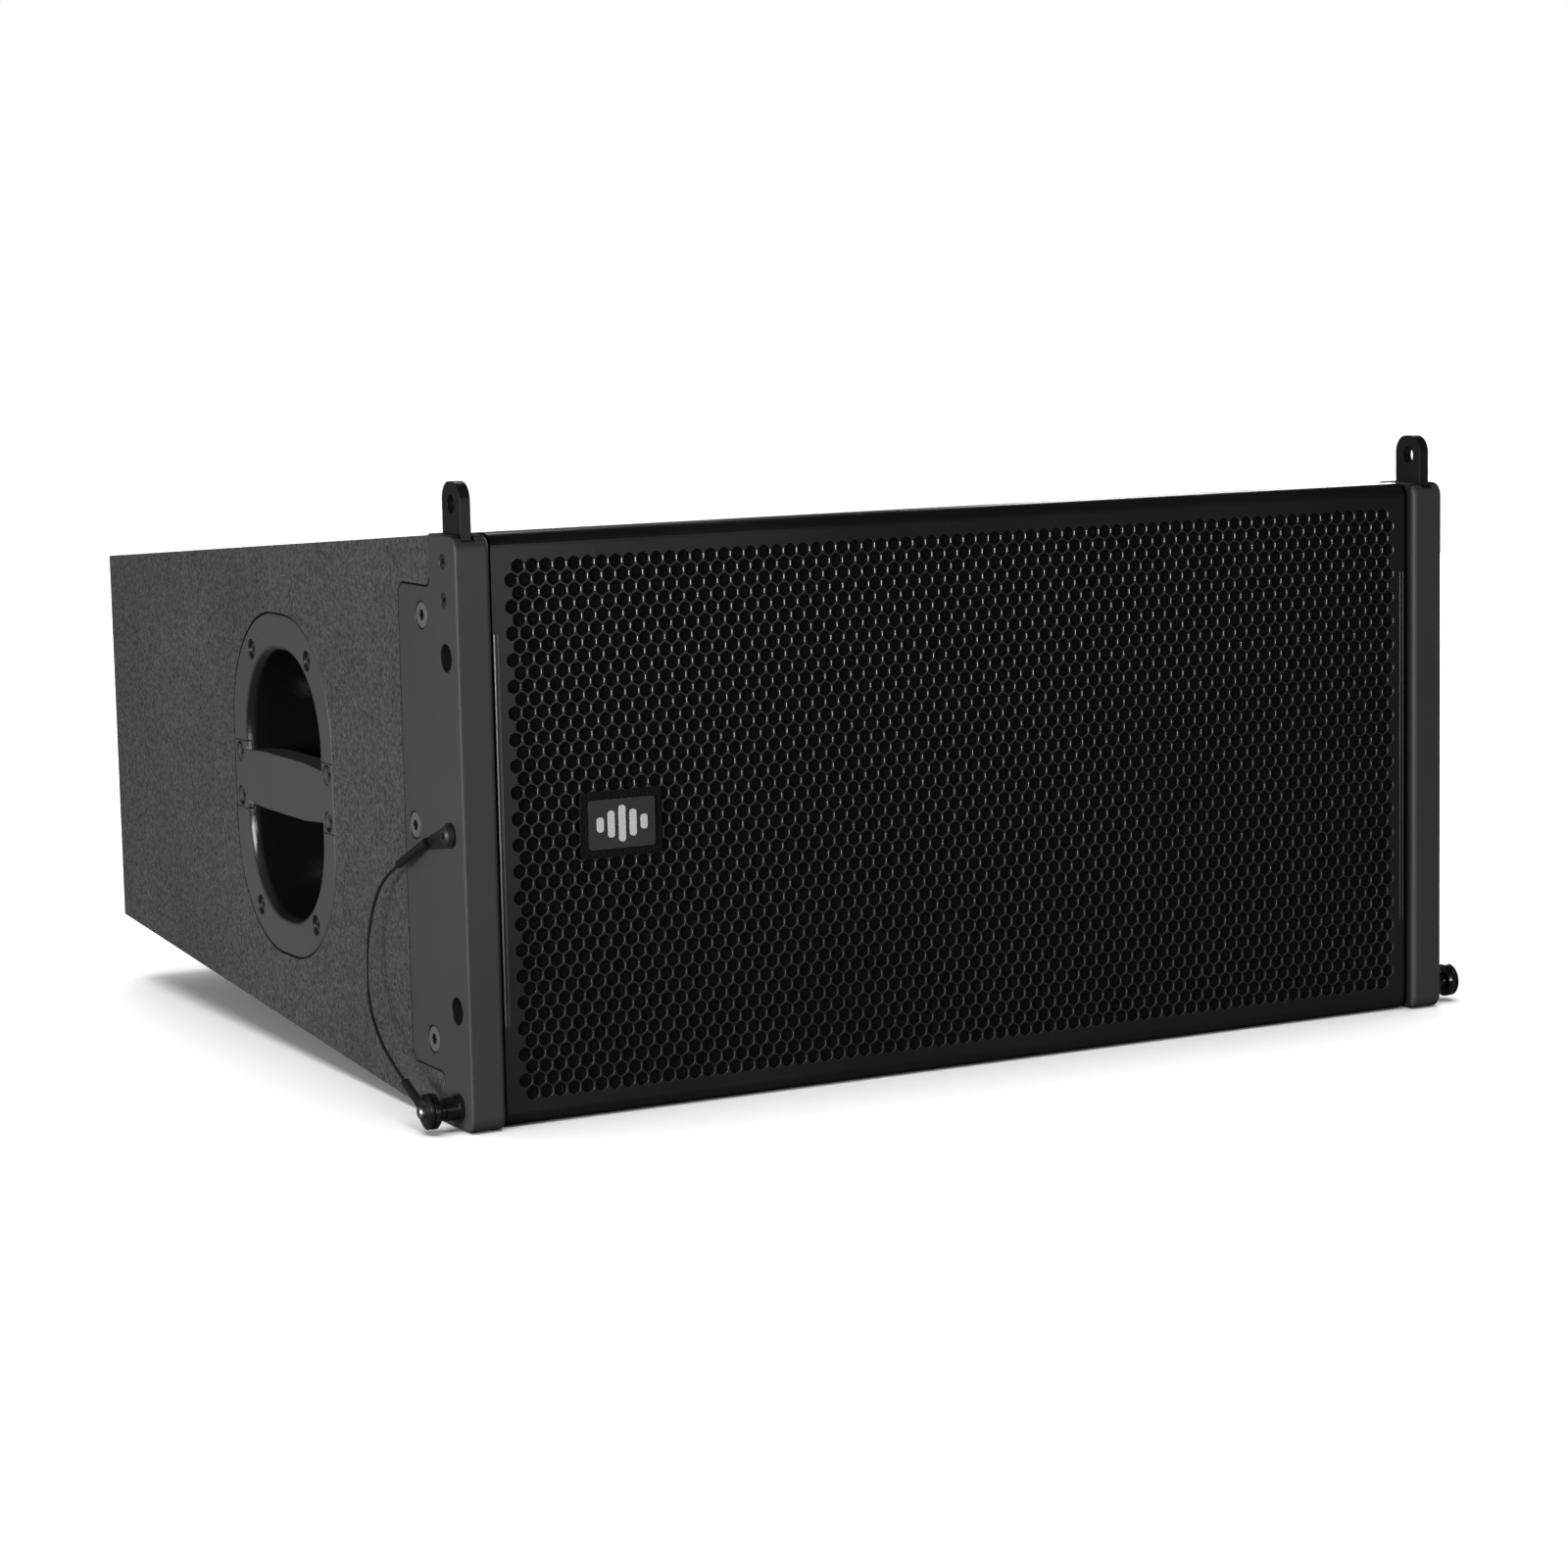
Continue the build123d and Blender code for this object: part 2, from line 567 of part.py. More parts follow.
def damping():
    """Felt pads on the ceiling and the floor between the braces."""
    y0, y1, t = 245.0, 460.0, 18.0
    outline = [(y0, ceiling(y0)), (y1, ceiling(y1)), (y1, ceiling(y1) - t), (y0, ceiling(y0) - t)]
    upper = side_slab(outline, -87.0, 87.0)
    return [upper, mirror(upper, about=Plane.XY)]


def crossover_board():
    """Circuit board on four spacers."""
    y0 = BOARD_BACK - BOARD_T
    board = block(
        BOARD_X - BOARD_W / 2, BOARD_X + BOARD_W / 2, y0, BOARD_BACK, -BOARD_H / 2, BOARD_H / 2
    )
    feet = [
        rod_y(3.5, BOARD_BACK, CABINET_DEPTH - REAR_PANEL, BOARD_X + sx * 57, sz * 52)
        for sx in (-1, 1) for sz in (-1, 1)
    ]
    for foot in feet:
        board = board + foot
    return board


def crossover_coils():
    y1 = BOARD_BACK - BOARD_T
    places = [(-34, 30, 22, 18), (30, 28, 26, 22), (-30, -28, 18, 16)]
    return [
        Pos(BOARD_X, 0, 0) * (rod_y(r, y1 - h, y1, x, z) - rod_y(r * 0.45, y1 - h - 1, y1, x, z))
        for x, z, r, h in places
    ]


def crossover_capacitors():
    y1 = BOARD_BACK - BOARD_T
    places = [(10, -30, 7), (28, -30, 7), (46, -30, 9)]
    return [rod_z(r, z - 18, z + 18, BOARD_X + x, y1 - r) for x, z, r in places]


# ---------------------------------------------------------------- input plate

def input_screws():
    places = [(INPUT_X + sx * 50, sz * 38) for sx in (-1, 1) for sz in (-1, 1)]
    return [
        pan_screw_y(x, CABINET_DEPTH + INPUT_T, z, 3.2, 1.8, 14.0, 1) for x, z in places
    ]


def input_plate():
    y0 = CABINET_DEPTH
    plate = front_slab(Pos(INPUT_X, 0) * RectangleRounded(INPUT_W, INPUT_H, 6), y0, y0 + INPUT_T)
    holes = [rod_y(14.6, y0 - 1, y0 + 5, x, 0) for x in CONNECTOR_XS]
    return cut(plate, holes + input_screws())


def connector(x):
    """Four-pole locking loudspeaker socket: a flanged shell round a keyed core."""
    face = CABINET_DEPTH + INPUT_T
    flange = front_slab(Pos(x, 0) * RectangleRounded(31, 36, 3), face, face + 2.5)
    shell = rod_y(14.6, face - SOCKET_DEPTH - 2, face, x, 0)
    body = flange + shell - rod_y(SOCKET_BORE_R, face - SOCKET_DEPTH + 2.5, face + 5, x, 0)
    core = rod_y(SOCKET_CORE_R, face - SOCKET_DEPTH, face, x, 0)
    keyway = block(x - 1.2, x + 1.2, face - 10, face + 1, SOCKET_CORE_R - 1.5, SOCKET_CORE_R + 1)
    return body + (core - keyway)


# ---------------------------------------------------------------- rear rigging

def bracket_screws():
    places = [(sx * 22.0, z) for sx in (-1, 1) for z in (-76.0, 0.0, 76.0)]
    return [pan_screw_y(x, CABINET_DEPTH + 4, z, 4.6, 2.9, 18.0, 1) for x, z in places]


def rear_bracket():
    """Base plate with two cheeks that hold the splay link and the rear pin."""
    y0 = CABINET_DEPTH
    base = block(-30, 30, y0, y0 + 4, -BRACKET_HALF_H, BRACKET_HALF_H)
    body = base
    for side in (-1, 1):
        near, far = sorted((side * CHEEK_IN, side * (CHEEK_IN + CHEEK_T)))
        cheek = block(near, far, y0 + 3, y0 + BRACKET_DEPTH, -BRACKET_HALF_H, BRACKET_HALF_H)
        cheek = fillet(cheek.edges().filter_by(Axis.X).group_by(Axis.Y)[-1], 12.0)
        body = body + cheek
    reach = CHEEK_IN + CHEEK_T + 1
    holes = [rod_x(PIN_BORE_R, -reach, reach, y0 + y, z) for y, z in SPLAY_HOLES]
    holes.append(rod_x(PIN_BORE_R, -reach, reach, PIVOT_Y, PIVOT_Z - LINK_LENGTH))
    holes.append(rod_x(PIVOT_R, -reach, reach, PIVOT_Y, PIVOT_Z))
    return cut(body, holes + bracket_screws())


def pivot_bolt():
    """Shoulder bolt with a low round head at each end."""
    reach = CHEEK_IN + CHEEK_T
    profile = [(-reach - 3, 0), (-reach - 3, 7.5), (-reach, 8), (-reach, PIVOT_R)]
    profile += [(reach, PIVOT_R), (reach, 8), (reach + 3, 7.5), (reach + 3, 0)]
    return Pos(0, PIVOT_Y, PIVOT_Z) * turned_x(profile)


def rear_link():
    """Splay link: a flat bar with round ends, hanging from its pivot."""
    half, r = LINK_T / 2, LINK_WIDTH / 2
    bar = block(-half, half, PIVOT_Y - r, PIVOT_Y + r, PIVOT_Z - LINK_LENGTH, PIVOT_Z)
    bar = bar + rod_x(r, -half, half, PIVOT_Y, PIVOT_Z)
    bar = bar + rod_x(r, -half, half, PIVOT_Y, PIVOT_Z - LINK_LENGTH)
    bar = bar - rod_x(PIVOT_BORE_R, -half - 1, half + 1, PIVOT_Y, PIVOT_Z)
    return bar - rod_x(PIN_BORE_R, -half - 1, half + 1, PIVOT_Y, PIVOT_Z - LINK_LENGTH)


def rear_pin_place(shape):
    """Move a left-handed pin shape to the rear bracket, with its knob towards +x."""
    y, z = REAR_PIN_HOLE
    return Pos(0, CABINET_DEPTH + y, z) * mirrored(shape)


def rear_pin():
    """The rear pin, with a spindle long enough to cross both cheeks."""
    return rear_pin_place(pin(REAR_FACE_X, -2 * REAR_FACE_X + 3))


# ---------------------------------------------------------------- left pin's lanyard

def sleeve(point, along, length):
    """A crimped sleeve that starts at a point and runs along a direction."""
    return Plane(point, z_dir=along) * Pos(0, 0, length / 2) * Cylinder(SLEEVE_R, length)


def lanyard_tab():
    """Eye under the button-head screw, its tongue, and the upper crimped sleeve."""
    x0, x1 = -HALF_W - 1.5, -HALF_W
    eye = rod_x(5.8, x0, x1, LUG_Y, 0)
    tongue = side_slab([(LUG_Y, 5.2), (40, -4.0), (40, -9.5), (LUG_Y - 1, -5.6)], x0, x1)
    first, second = (Vector(*p) for p in WIRE_ROUTE[:2])
    upper = sleeve(first, first - second, UPPER_SLEEVE)
    return eye + tongue + upper - lanyard_screw()


def lanyard_wire():
    """The wire's tube: straight runs joined by tangent arcs as large as the runs allow."""
    points = [Vector(*p) for p in WIRE_ROUTE]
    runs = [b - a for a, b in zip(points, points[1:])]
    radii = []
    for before, after in zip(runs, runs[1:]):
        turn = radians(before.get_angle(after))
        radii.append(0.45 * min(before.length, after.length) / tan(turn / 2))
    path = FilletPolyline(*points, radius=radii)
    tube = sweep(Plane(points[0], z_dir=runs[0]) * Circle(WIRE_R), path=path)
    exact = pi * WIRE_R**2 * path.length
    print("lanyard radii:", [round(r, 1) for r in radii])
    print("lanyard length", round(path.length, 1), "volume", round(tube.volume, 1), "of", round(exact, 1))
    return tube


def lanyard_loop():
    """Lower crimped sleeve and the wire ring that lies in the pin knob's groove."""
    before, last = (Vector(*p) for p in WIRE_ROUTE[-2:])
    along = (last - before).normalized()
    lower = sleeve(last + along * 0.3, along, LOWER_SLEEVE)
    ring = Pos(LOOP_X, LUG_Y, PIN_Z) * Rot(0, 90, 0) * Torus(7.3, 0.8)
    return lower + ring - Pos(0, LUG_Y, PIN_Z) * pin(-HALF_W)


# ---------------------------------------------------------------- build

def build_structure():
    woofer_places = [Pos(-WOOFER_X, 0, 0), Pos(WOOFER_X, 0, 0)]
    all_basket_screws = [place * s for place in woofer_places for s in basket_screws()]
    roof_shape = roof_panel()
    save("panel_top", roof_shape)
    save("panel_bottom", mirror(roof_shape, about=Plane.XY))
    side = side_panel()
    save("panel_left", side)
    save("panel_right", mirrored(side))
    baffle = inner_slab(BAFFLE_FRONT, BAFFLE_BACK, -INNER_X, INNER_X)
    holes = [rod_y(WOOFER_HOLE_R, 30, 70, s * WOOFER_X, 0) for s in (-1, 1)]
    holes.append(block(-36, 36, 30, 70, -99, 99))
    save("baffle", cut(baffle, holes + all_basket_screws + waveguide_screws()))
    rear = inner_slab(CABINET_DEPTH - REAR_PANEL, CABINET_DEPTH, -INNER_X, INNER_X)
    sockets = [rod_y(14.6, 460, 490, x, 0) for x in CONNECTOR_XS]
    save("panel_rear", cut(rear, sockets + input_screws() + bracket_screws()))
    save("braces", brace(), mirrored(brace()))
    save("damping", *damping())
    frame = rig_frame()
    save("rig_frame_left", frame)
    save("rig_frame_right", mirrored(frame))
    save("rig_frame_screws", *both_sides(frame_screws()))
    save("lug_left", lug())
    save("lug_right", mirrored(lug()))
    save("lug_screws", *both_sides(lug_screws()))
    save("lanyard_screws", *both_sides([lanyard_screw()]))
    handle, grip = handle_parts()
    save("handle_left", handle)
    save("handle_right", mirrored(handle))
    save("grip_left", grip)
    save("grip_right", mirrored(grip))
    save("handle_screws", *both_sides(handle_screws()))
    save("woofer_screws", *all_basket_screws)


def build_front():
    save("grille", grille())
    save("grille_foam", grille_foam())
    save("badge_plate", badge_plate())
    save("badge_emblem", *badge_emblem())


def build_drivers():
    for name, x in (("left", -WOOFER_X), ("right", WOOFER_X)):
        place = Pos(x, 0, 0)
        save(f"woofer_basket_{name}", place * basket())
        save(f"woofer_surround_{name}", place * surround())
        save(f"woofer_cone_{name}", place * cone())
        save(f"voice_coil_{name}", place * voice_coil())
        save(f"spider_{name}", place * spider())
        save(f"magnet_{name}", *[place * s for s in magnet()])
    save("waveguide", waveguide())
    save("waveguide_screws", *waveguide_screws())
    save("compression_driver", compression_driver())
    save("driver_bolts", *driver_bolts())


def build_electrics():
    save("crossover_board", crossover_board())
    save("crossover_coils", *crossover_coils())
    save("crossover_capacitors", *crossover_capacitors())
    save("input_plate", input_plate())
    save("input_screws", *input_screws())
    save("connectors", *[connector(x) for x in CONNECTOR_XS])


def build_rigging():
    place = Pos(0, LUG_Y, PIN_Z)
    left, left_button = place * pin(-HALF_W), place * pin_button(-HALF_W)
    save("pin_left", left)
    save("pin_right", mirrored(left))
    save("pin_button_left", left_button)
    save("pin_button_right", mirrored(left_button))
    save("rear_bracket", rear_bracket())
    save("bracket_screws", *bracket_screws())
    save("pivot_bolt", pivot_bolt())
    save("rear_link", rear_link())
    save("rear_pin", rear_pin())
    save("rear_pin_button", rear_pin_place(pin_button(REAR_FACE_X)))
    save("lanyard_tab", lanyard_tab())
    save("lanyard_wire", lanyard_wire())
    save("lanyard_loop", lanyard_loop())


os.makedirs("parts", exist_ok=True)
build_structure()
build_front()
build_drivers()
build_electrics()
build_rigging()
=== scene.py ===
import json
import math

import bmesh
import bpy
import numpy as np
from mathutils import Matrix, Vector, noise
from mathutils.geometry import delaunay_2d_cdt

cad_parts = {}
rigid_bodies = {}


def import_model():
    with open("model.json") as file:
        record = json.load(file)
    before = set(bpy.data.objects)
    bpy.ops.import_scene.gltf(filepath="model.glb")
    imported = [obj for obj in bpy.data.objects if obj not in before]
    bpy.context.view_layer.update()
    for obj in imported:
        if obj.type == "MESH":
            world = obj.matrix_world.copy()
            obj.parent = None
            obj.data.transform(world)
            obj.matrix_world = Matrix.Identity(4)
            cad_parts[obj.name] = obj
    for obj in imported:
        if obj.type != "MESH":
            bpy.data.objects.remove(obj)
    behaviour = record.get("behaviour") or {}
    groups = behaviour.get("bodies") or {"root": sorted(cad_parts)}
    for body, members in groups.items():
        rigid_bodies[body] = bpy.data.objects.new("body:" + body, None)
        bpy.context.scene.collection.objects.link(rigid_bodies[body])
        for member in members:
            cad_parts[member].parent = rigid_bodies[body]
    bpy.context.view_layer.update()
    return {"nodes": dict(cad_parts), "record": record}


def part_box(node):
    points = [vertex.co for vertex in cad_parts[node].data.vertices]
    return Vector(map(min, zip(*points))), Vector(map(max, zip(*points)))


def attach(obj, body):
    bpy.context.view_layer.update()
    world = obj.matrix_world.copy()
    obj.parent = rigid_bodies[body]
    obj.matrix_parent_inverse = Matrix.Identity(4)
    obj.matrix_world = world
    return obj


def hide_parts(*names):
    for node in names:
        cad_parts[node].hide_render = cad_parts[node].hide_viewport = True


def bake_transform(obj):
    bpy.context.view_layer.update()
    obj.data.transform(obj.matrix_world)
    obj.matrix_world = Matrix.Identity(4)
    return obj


# Line array speaker: a folded hexagonal grille mesh, foam behind it, a dark ring round the badge, the lanyard
# wire, materials, studio and camera round the imported CAD frame. Metres, in the part frame.

for old in list(bpy.data.objects):
    bpy.data.objects.remove(old)
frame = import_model()
NODES = frame["nodes"]

MM = 0.001
GRILLE_LOW, GRILLE_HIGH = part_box("grille")
MID_Z = (GRILLE_LOW.z + GRILLE_HIGH.z) / 2
GRILLE_FRONT = GRILLE_LOW.y
REAR_HEIGHT = 202 * MM                   # the cabinet's height at the back; its front is the grille's
OUTLINE_MARGIN = 4 * MM                  # how far inside the sloping outline the painted shade on a side panel stops
RIM_SATIN, RIM_FADE = 0.2 * MM, 1.0 * MM # handle rim left satin, and its fade to a glossy cup
BAR_HALF_HEIGHT = 14.8 * MM
SHADED, SHADED_ROUGH = 0.0015, 0.8       # painted shade: tone and roughness inside sockets, holes and seams
CUP_BLACK = 0.006
# Radius of the mask for lightened edges: part paint wear, part painted highlight
EDGE_WEAR_AND_HIGHLIGHT_R = 0.9 * MM

# ---------------------------------------------------------------- camera

camera = bpy.data.objects.new("camera", bpy.data.cameras.new("camera"))
bpy.context.scene.collection.objects.link(camera)
camera.location = (-0.9596, -1.85125, 0.3898)
camera.rotation_euler = (1.437876, 0.020517, -0.492305)
camera.data.lens = 88.99
camera.data.sensor_width = 36.0
camera.data.dof.use_dof = False
bpy.context.scene.camera = camera


# ---------------------------------------------------------------- helpers

def make_object(name, vertices, faces, material, smooth=False):
    mesh = bpy.data.meshes.new(name)
    mesh.from_pydata([tuple(map(float, v)) for v in vertices], [], [tuple(map(int, f)) for f in faces])
    mesh.validate()
    obj = bpy.data.objects.new(name, mesh)
    bpy.context.scene.collection.objects.link(obj)
    obj.data.materials.append(material)
    obj.data.polygons.foreach_set("use_smooth", [smooth] * len(mesh.polygons))
    return obj


def add(tree, kind, settings=None, **inputs):
    """A shader node, with its settings and inputs; an input is a number, a colour or a socket."""
    made = tree.nodes.new(kind)
    for key, value in (settings or {}).items():
        setattr(made, key, value)
    for key, value in inputs.items():
        socket = made.inputs[int(key[1:])] if key[0] == "_" else made.inputs[key.replace("_", " ")]
        if isinstance(value, bpy.types.NodeSocket):
            tree.links.new(value, socket)
        else:
            socket.default_value = value
    return made


def mix_colour(tree, factor, a, b, how="MIX"):
    settings = {"data_type": "RGBA", "blend_type": how, "clamp_factor": True}
    return add(tree, "ShaderNodeMix", settings, _0=factor, _6=a, _7=b).outputs[2]


def map_range(tree, value, low, high, to_low=0.0, to_high=1.0):
    inputs = {"_0": value, "_1": low, "_2": high, "_3": to_low, "_4": to_high}
    return add(tree, "ShaderNodeMapRange", {"clamp": True}, **inputs).outputs[0]


def math_node(tree, operation, a, b=0.0):
    return add(tree, "ShaderNodeMath", {"operation": operation}, _0=a, _1=b).outputs[0]


def grey(value):
    """An RGBA colour from one tone, or from three."""
    return (value, value, value, 1.0) if isinstance(value, float) else (*value, 1.0)


def field_of(tree, where, pattern, size):
    """A 0 to 1 field with features of a given size in metres."""
    if pattern == "cells":
        cells = add(tree, "ShaderNodeTexVoronoi", {"feature": "F1"}, Vector=where, Scale=1 / size)
        return map_range(tree, cells.outputs["Distance"], 0.1, 0.75)
    if pattern == "bands":
        settings = {"wave_type": "BANDS", "bands_direction": "DIAGONAL"}
        bands = add(tree, "ShaderNodeTexWave", settings, Vector=where, Scale=0.05 / size, Distortion=2.0)
        return bands.outputs["Fac"]
    if pattern in ("turns", "weave"):
        across = []
        for direction in ("Y",) if pattern == "turns" else ("X", "Z"):
            settings = {"wave_type": "BANDS", "bands_direction": direction}
            wave = add(tree, "ShaderNodeTexWave", settings, Vector=where, Scale=0.314 / size)
            across.append(wave.outputs["Fac"])
        if len(across) == 1:
            return across[0]
        return math_node(tree, "MULTIPLY", *across)
    grain = add(tree, "ShaderNodeTexNoise", Vector=where, Scale=1 / size, Detail=4.0, Roughness=0.62)
    return map_range(tree, grain.outputs["Fac"], 0.33, 0.67)


def surface(name, dark, light, rough, size, pattern="noise", stretch=(1, 1, 1), spread=0.07,
            bump=0.25, height=0.0002, worn=None, soft_edge=0.0, **shader):
    """A procedural material: two tones in a pattern of a given size, a slow drift of tone and
    roughness over the part, a bump, and edges lightened in chips: part paint wear, part painted highlight."""
    material = bpy.data.materials.new(name)
    material.use_nodes = True
    tree = material.node_tree
    bsdf = tree.nodes["Principled BSDF"]
    place = add(tree, "ShaderNodeTexCoord").outputs["Object"]
    where = add(tree, "ShaderNodeMapping", Vector=place, Scale=stretch).outputs[0]
    field = field_of(tree, where, pattern, size)
    drift = add(tree, "ShaderNodeTexNoise", Vector=place, Scale=9.0, Detail=3.0).outputs["Fac"]
    colour = mix_colour(tree, field, grey(dark), grey(light))
    shade = map_range(tree, drift, 0.3, 0.7, 0.9, 1.08)
    colour = mix_colour(tree, 1.0, colour, shade, "MULTIPLY")
    roughness = map_range(tree, drift, 0.3, 0.7, rough - spread, rough + spread)
    # Edges lightened in chips: part paint wear, part painted highlight
    if worn is not None:
        rounded = add(tree, "ShaderNodeBevel", {"samples": 4}, Radius=EDGE_WEAR_AND_HIGHLIGHT_R).outputs[0]
        normal = add(tree, "ShaderNodeNewGeometry").outputs["Normal"]
        dot = add(tree, "ShaderNodeVectorMath", {"operation": "DOT_PRODUCT"}, _0=rounded, _1=normal)
        edge = map_range(tree, dot.outputs["Value"], 0.97, 0.86)
        chips = add(tree, "ShaderNodeTexNoise", Vector=place, Scale=70.0, Detail=5.0).outputs["Fac"]
        chips = map_range(tree, chips, 0.48, 0.66)
        colour = mix_colour(tree, math_node(tree, "MULTIPLY", edge, chips), colour, grey(worn))
    tree.links.new(colour, bsdf.inputs["Base Color"])
    tree.links.new(roughness, bsdf.inputs["Roughness"])
    relief = add(tree, "ShaderNodeBump", Strength=bump, Distance=height, Height=field)
    if soft_edge:
        rim = add(tree, "ShaderNodeBevel", {"samples": 4}, Radius=soft_edge).outputs[0]
        tree.links.new(rim, relief.inputs["Normal"])
    tree.links.new(relief.outputs[0], bsdf.inputs["Normal"])
    for key, value in shader.items():
        bsdf.inputs[key.replace("_", " ")].default_value = value
    return material


def depth_below(tree, node, fade_from, fade_to):
    """0 on a side part's outer face, 1 once it is sunk below that face by fade_to. Returns that,
    the place on the part, and the same place as separate coordinates."""
    low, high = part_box(node)
    face = max(abs(low.x), abs(high.x))
    place = add(tree, "ShaderNodeTexCoord").outputs["Object"]
    parts = add(tree, "ShaderNodeSeparateXYZ", Vector=place)
    across = math_node(tree, "ABSOLUTE", parts.outputs["X"])
    return map_range(tree, across, face - fade_from, face - fade_to), place, parts


def height_off_middle(tree, node, parts):
    """How far a point is above or below a node's middle."""
    low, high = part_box(node)
    return math_node(tree, "ABSOLUTE", math_node(tree, "SUBTRACT", parts.outputs["Z"], (low.z + high.z) / 2))


def blend_in(tree, factor, dark, rough):
    """Turns the surface a dark tone of its own roughness where the factor is 1."""
    bsdf = tree.nodes["Principled BSDF"]
    old_colour = bsdf.inputs["Base Color"].links[0].from_socket
    old_rough = bsdf.inputs["Roughness"].links[0].from_socket
    colour = mix_colour(tree, factor, old_colour, grey(dark))
    mixed = add(tree, "ShaderNodeMix", {"data_type": "FLOAT"}, _0=factor, _2=old_rough, _3=rough)
    tree.links.new(colour, bsdf.inputs["Base Color"])
    tree.links.new(mixed.outputs[0], bsdf.inputs["Roughness"])


def painted_shade_below(material, node, fade_from, fade_to, behind=None, ahead=None):
    """Painted shade below the outer face: sockets, holes, recesses and seams turned near black. It
    stays behind one depth, or ahead of another and inside the cabinet's sloping outline."""
    tree = material.node_tree
    sunk, _, parts = depth_below(tree, node, fade_from, fade_to)
    depth = parts.outputs["Y"]
    if behind is not None:
        sunk = math_node(tree, "MULTIPLY", sunk, math_node(tree, "GREATER_THAN", depth, behind))
    if ahead is not None:
        low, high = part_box(node)
        slope = (high.z - low.z - REAR_HEIGHT) / 2 / (high.y - low.y)
        fallen = math_node(tree, "MULTIPLY", math_node(tree, "SUBTRACT", depth, low.y), slope)
        reach = math_node(tree, "ADD", height_off_middle(tree, node, parts), fallen)
        within = math_node(tree, "LESS_THAN", reach, (high.z - low.z) / 2 - OUTLINE_MARGIN)
        sunk = math_node(tree, "MULTIPLY", sunk, math_node(tree, "LESS_THAN", depth, ahead))
        sunk = math_node(tree, "MULTIPLY", sunk, within)
    blend_in(tree, sunk, SHADED, SHADED_ROUGH)


def gloss_inside(material, node, beyond=0.0):
    """Turns a handle's cup glossy black below its rim, and leaves its flange satin. It starts
    beyond a height from the node's middle, so that a grip's bar stays satin and its tabs don't."""
    tree = material.node_tree
    sunk, place, parts = depth_below(tree, node, RIM_SATIN, RIM_SATIN + RIM_FADE)
    outside = math_node(tree, "GREATER_THAN", height_off_middle(tree, node, parts), beyond)
    sunk = math_node(tree, "MULTIPLY", sunk, outside)
    smudge = add(tree, "ShaderNodeTexNoise", Vector=place, Scale=45.0, Detail=4.0)
    cup_rough = map_range(tree, smudge.outputs["Fac"], 0.3, 0.7, 0.13, 0.2)
    blend_in(tree, sunk, CUP_BLACK, cup_rough)
    bump = tree.nodes["Bump"].inputs["Strength"]
    tree.links.new(map_range(tree, sunk, 0.0, 1.0, bump.default_value, 0.0), bump)


# ---------------------------------------------------------------- materials

PAINT = {"dark": 0.018, "light": 0.096, "rough": 0.62, "size": 0.0017, "bump": 0.6, "height": 0.0006}
POWDER_COAT = {"dark": 0.046, "light": 0.052, "rough": 0.5, "size": 0.0009, "bump": 0.12,
               "height": 0.0001, "worn": 0.07, "soft_edge": 0.0007}
MOULDING = {"dark": 0.058, "light": 0.07, "rough": 0.46, "size": 0.0006, "bump": 0.16,
            "height": 0.00008, "soft_edge": 0.001}

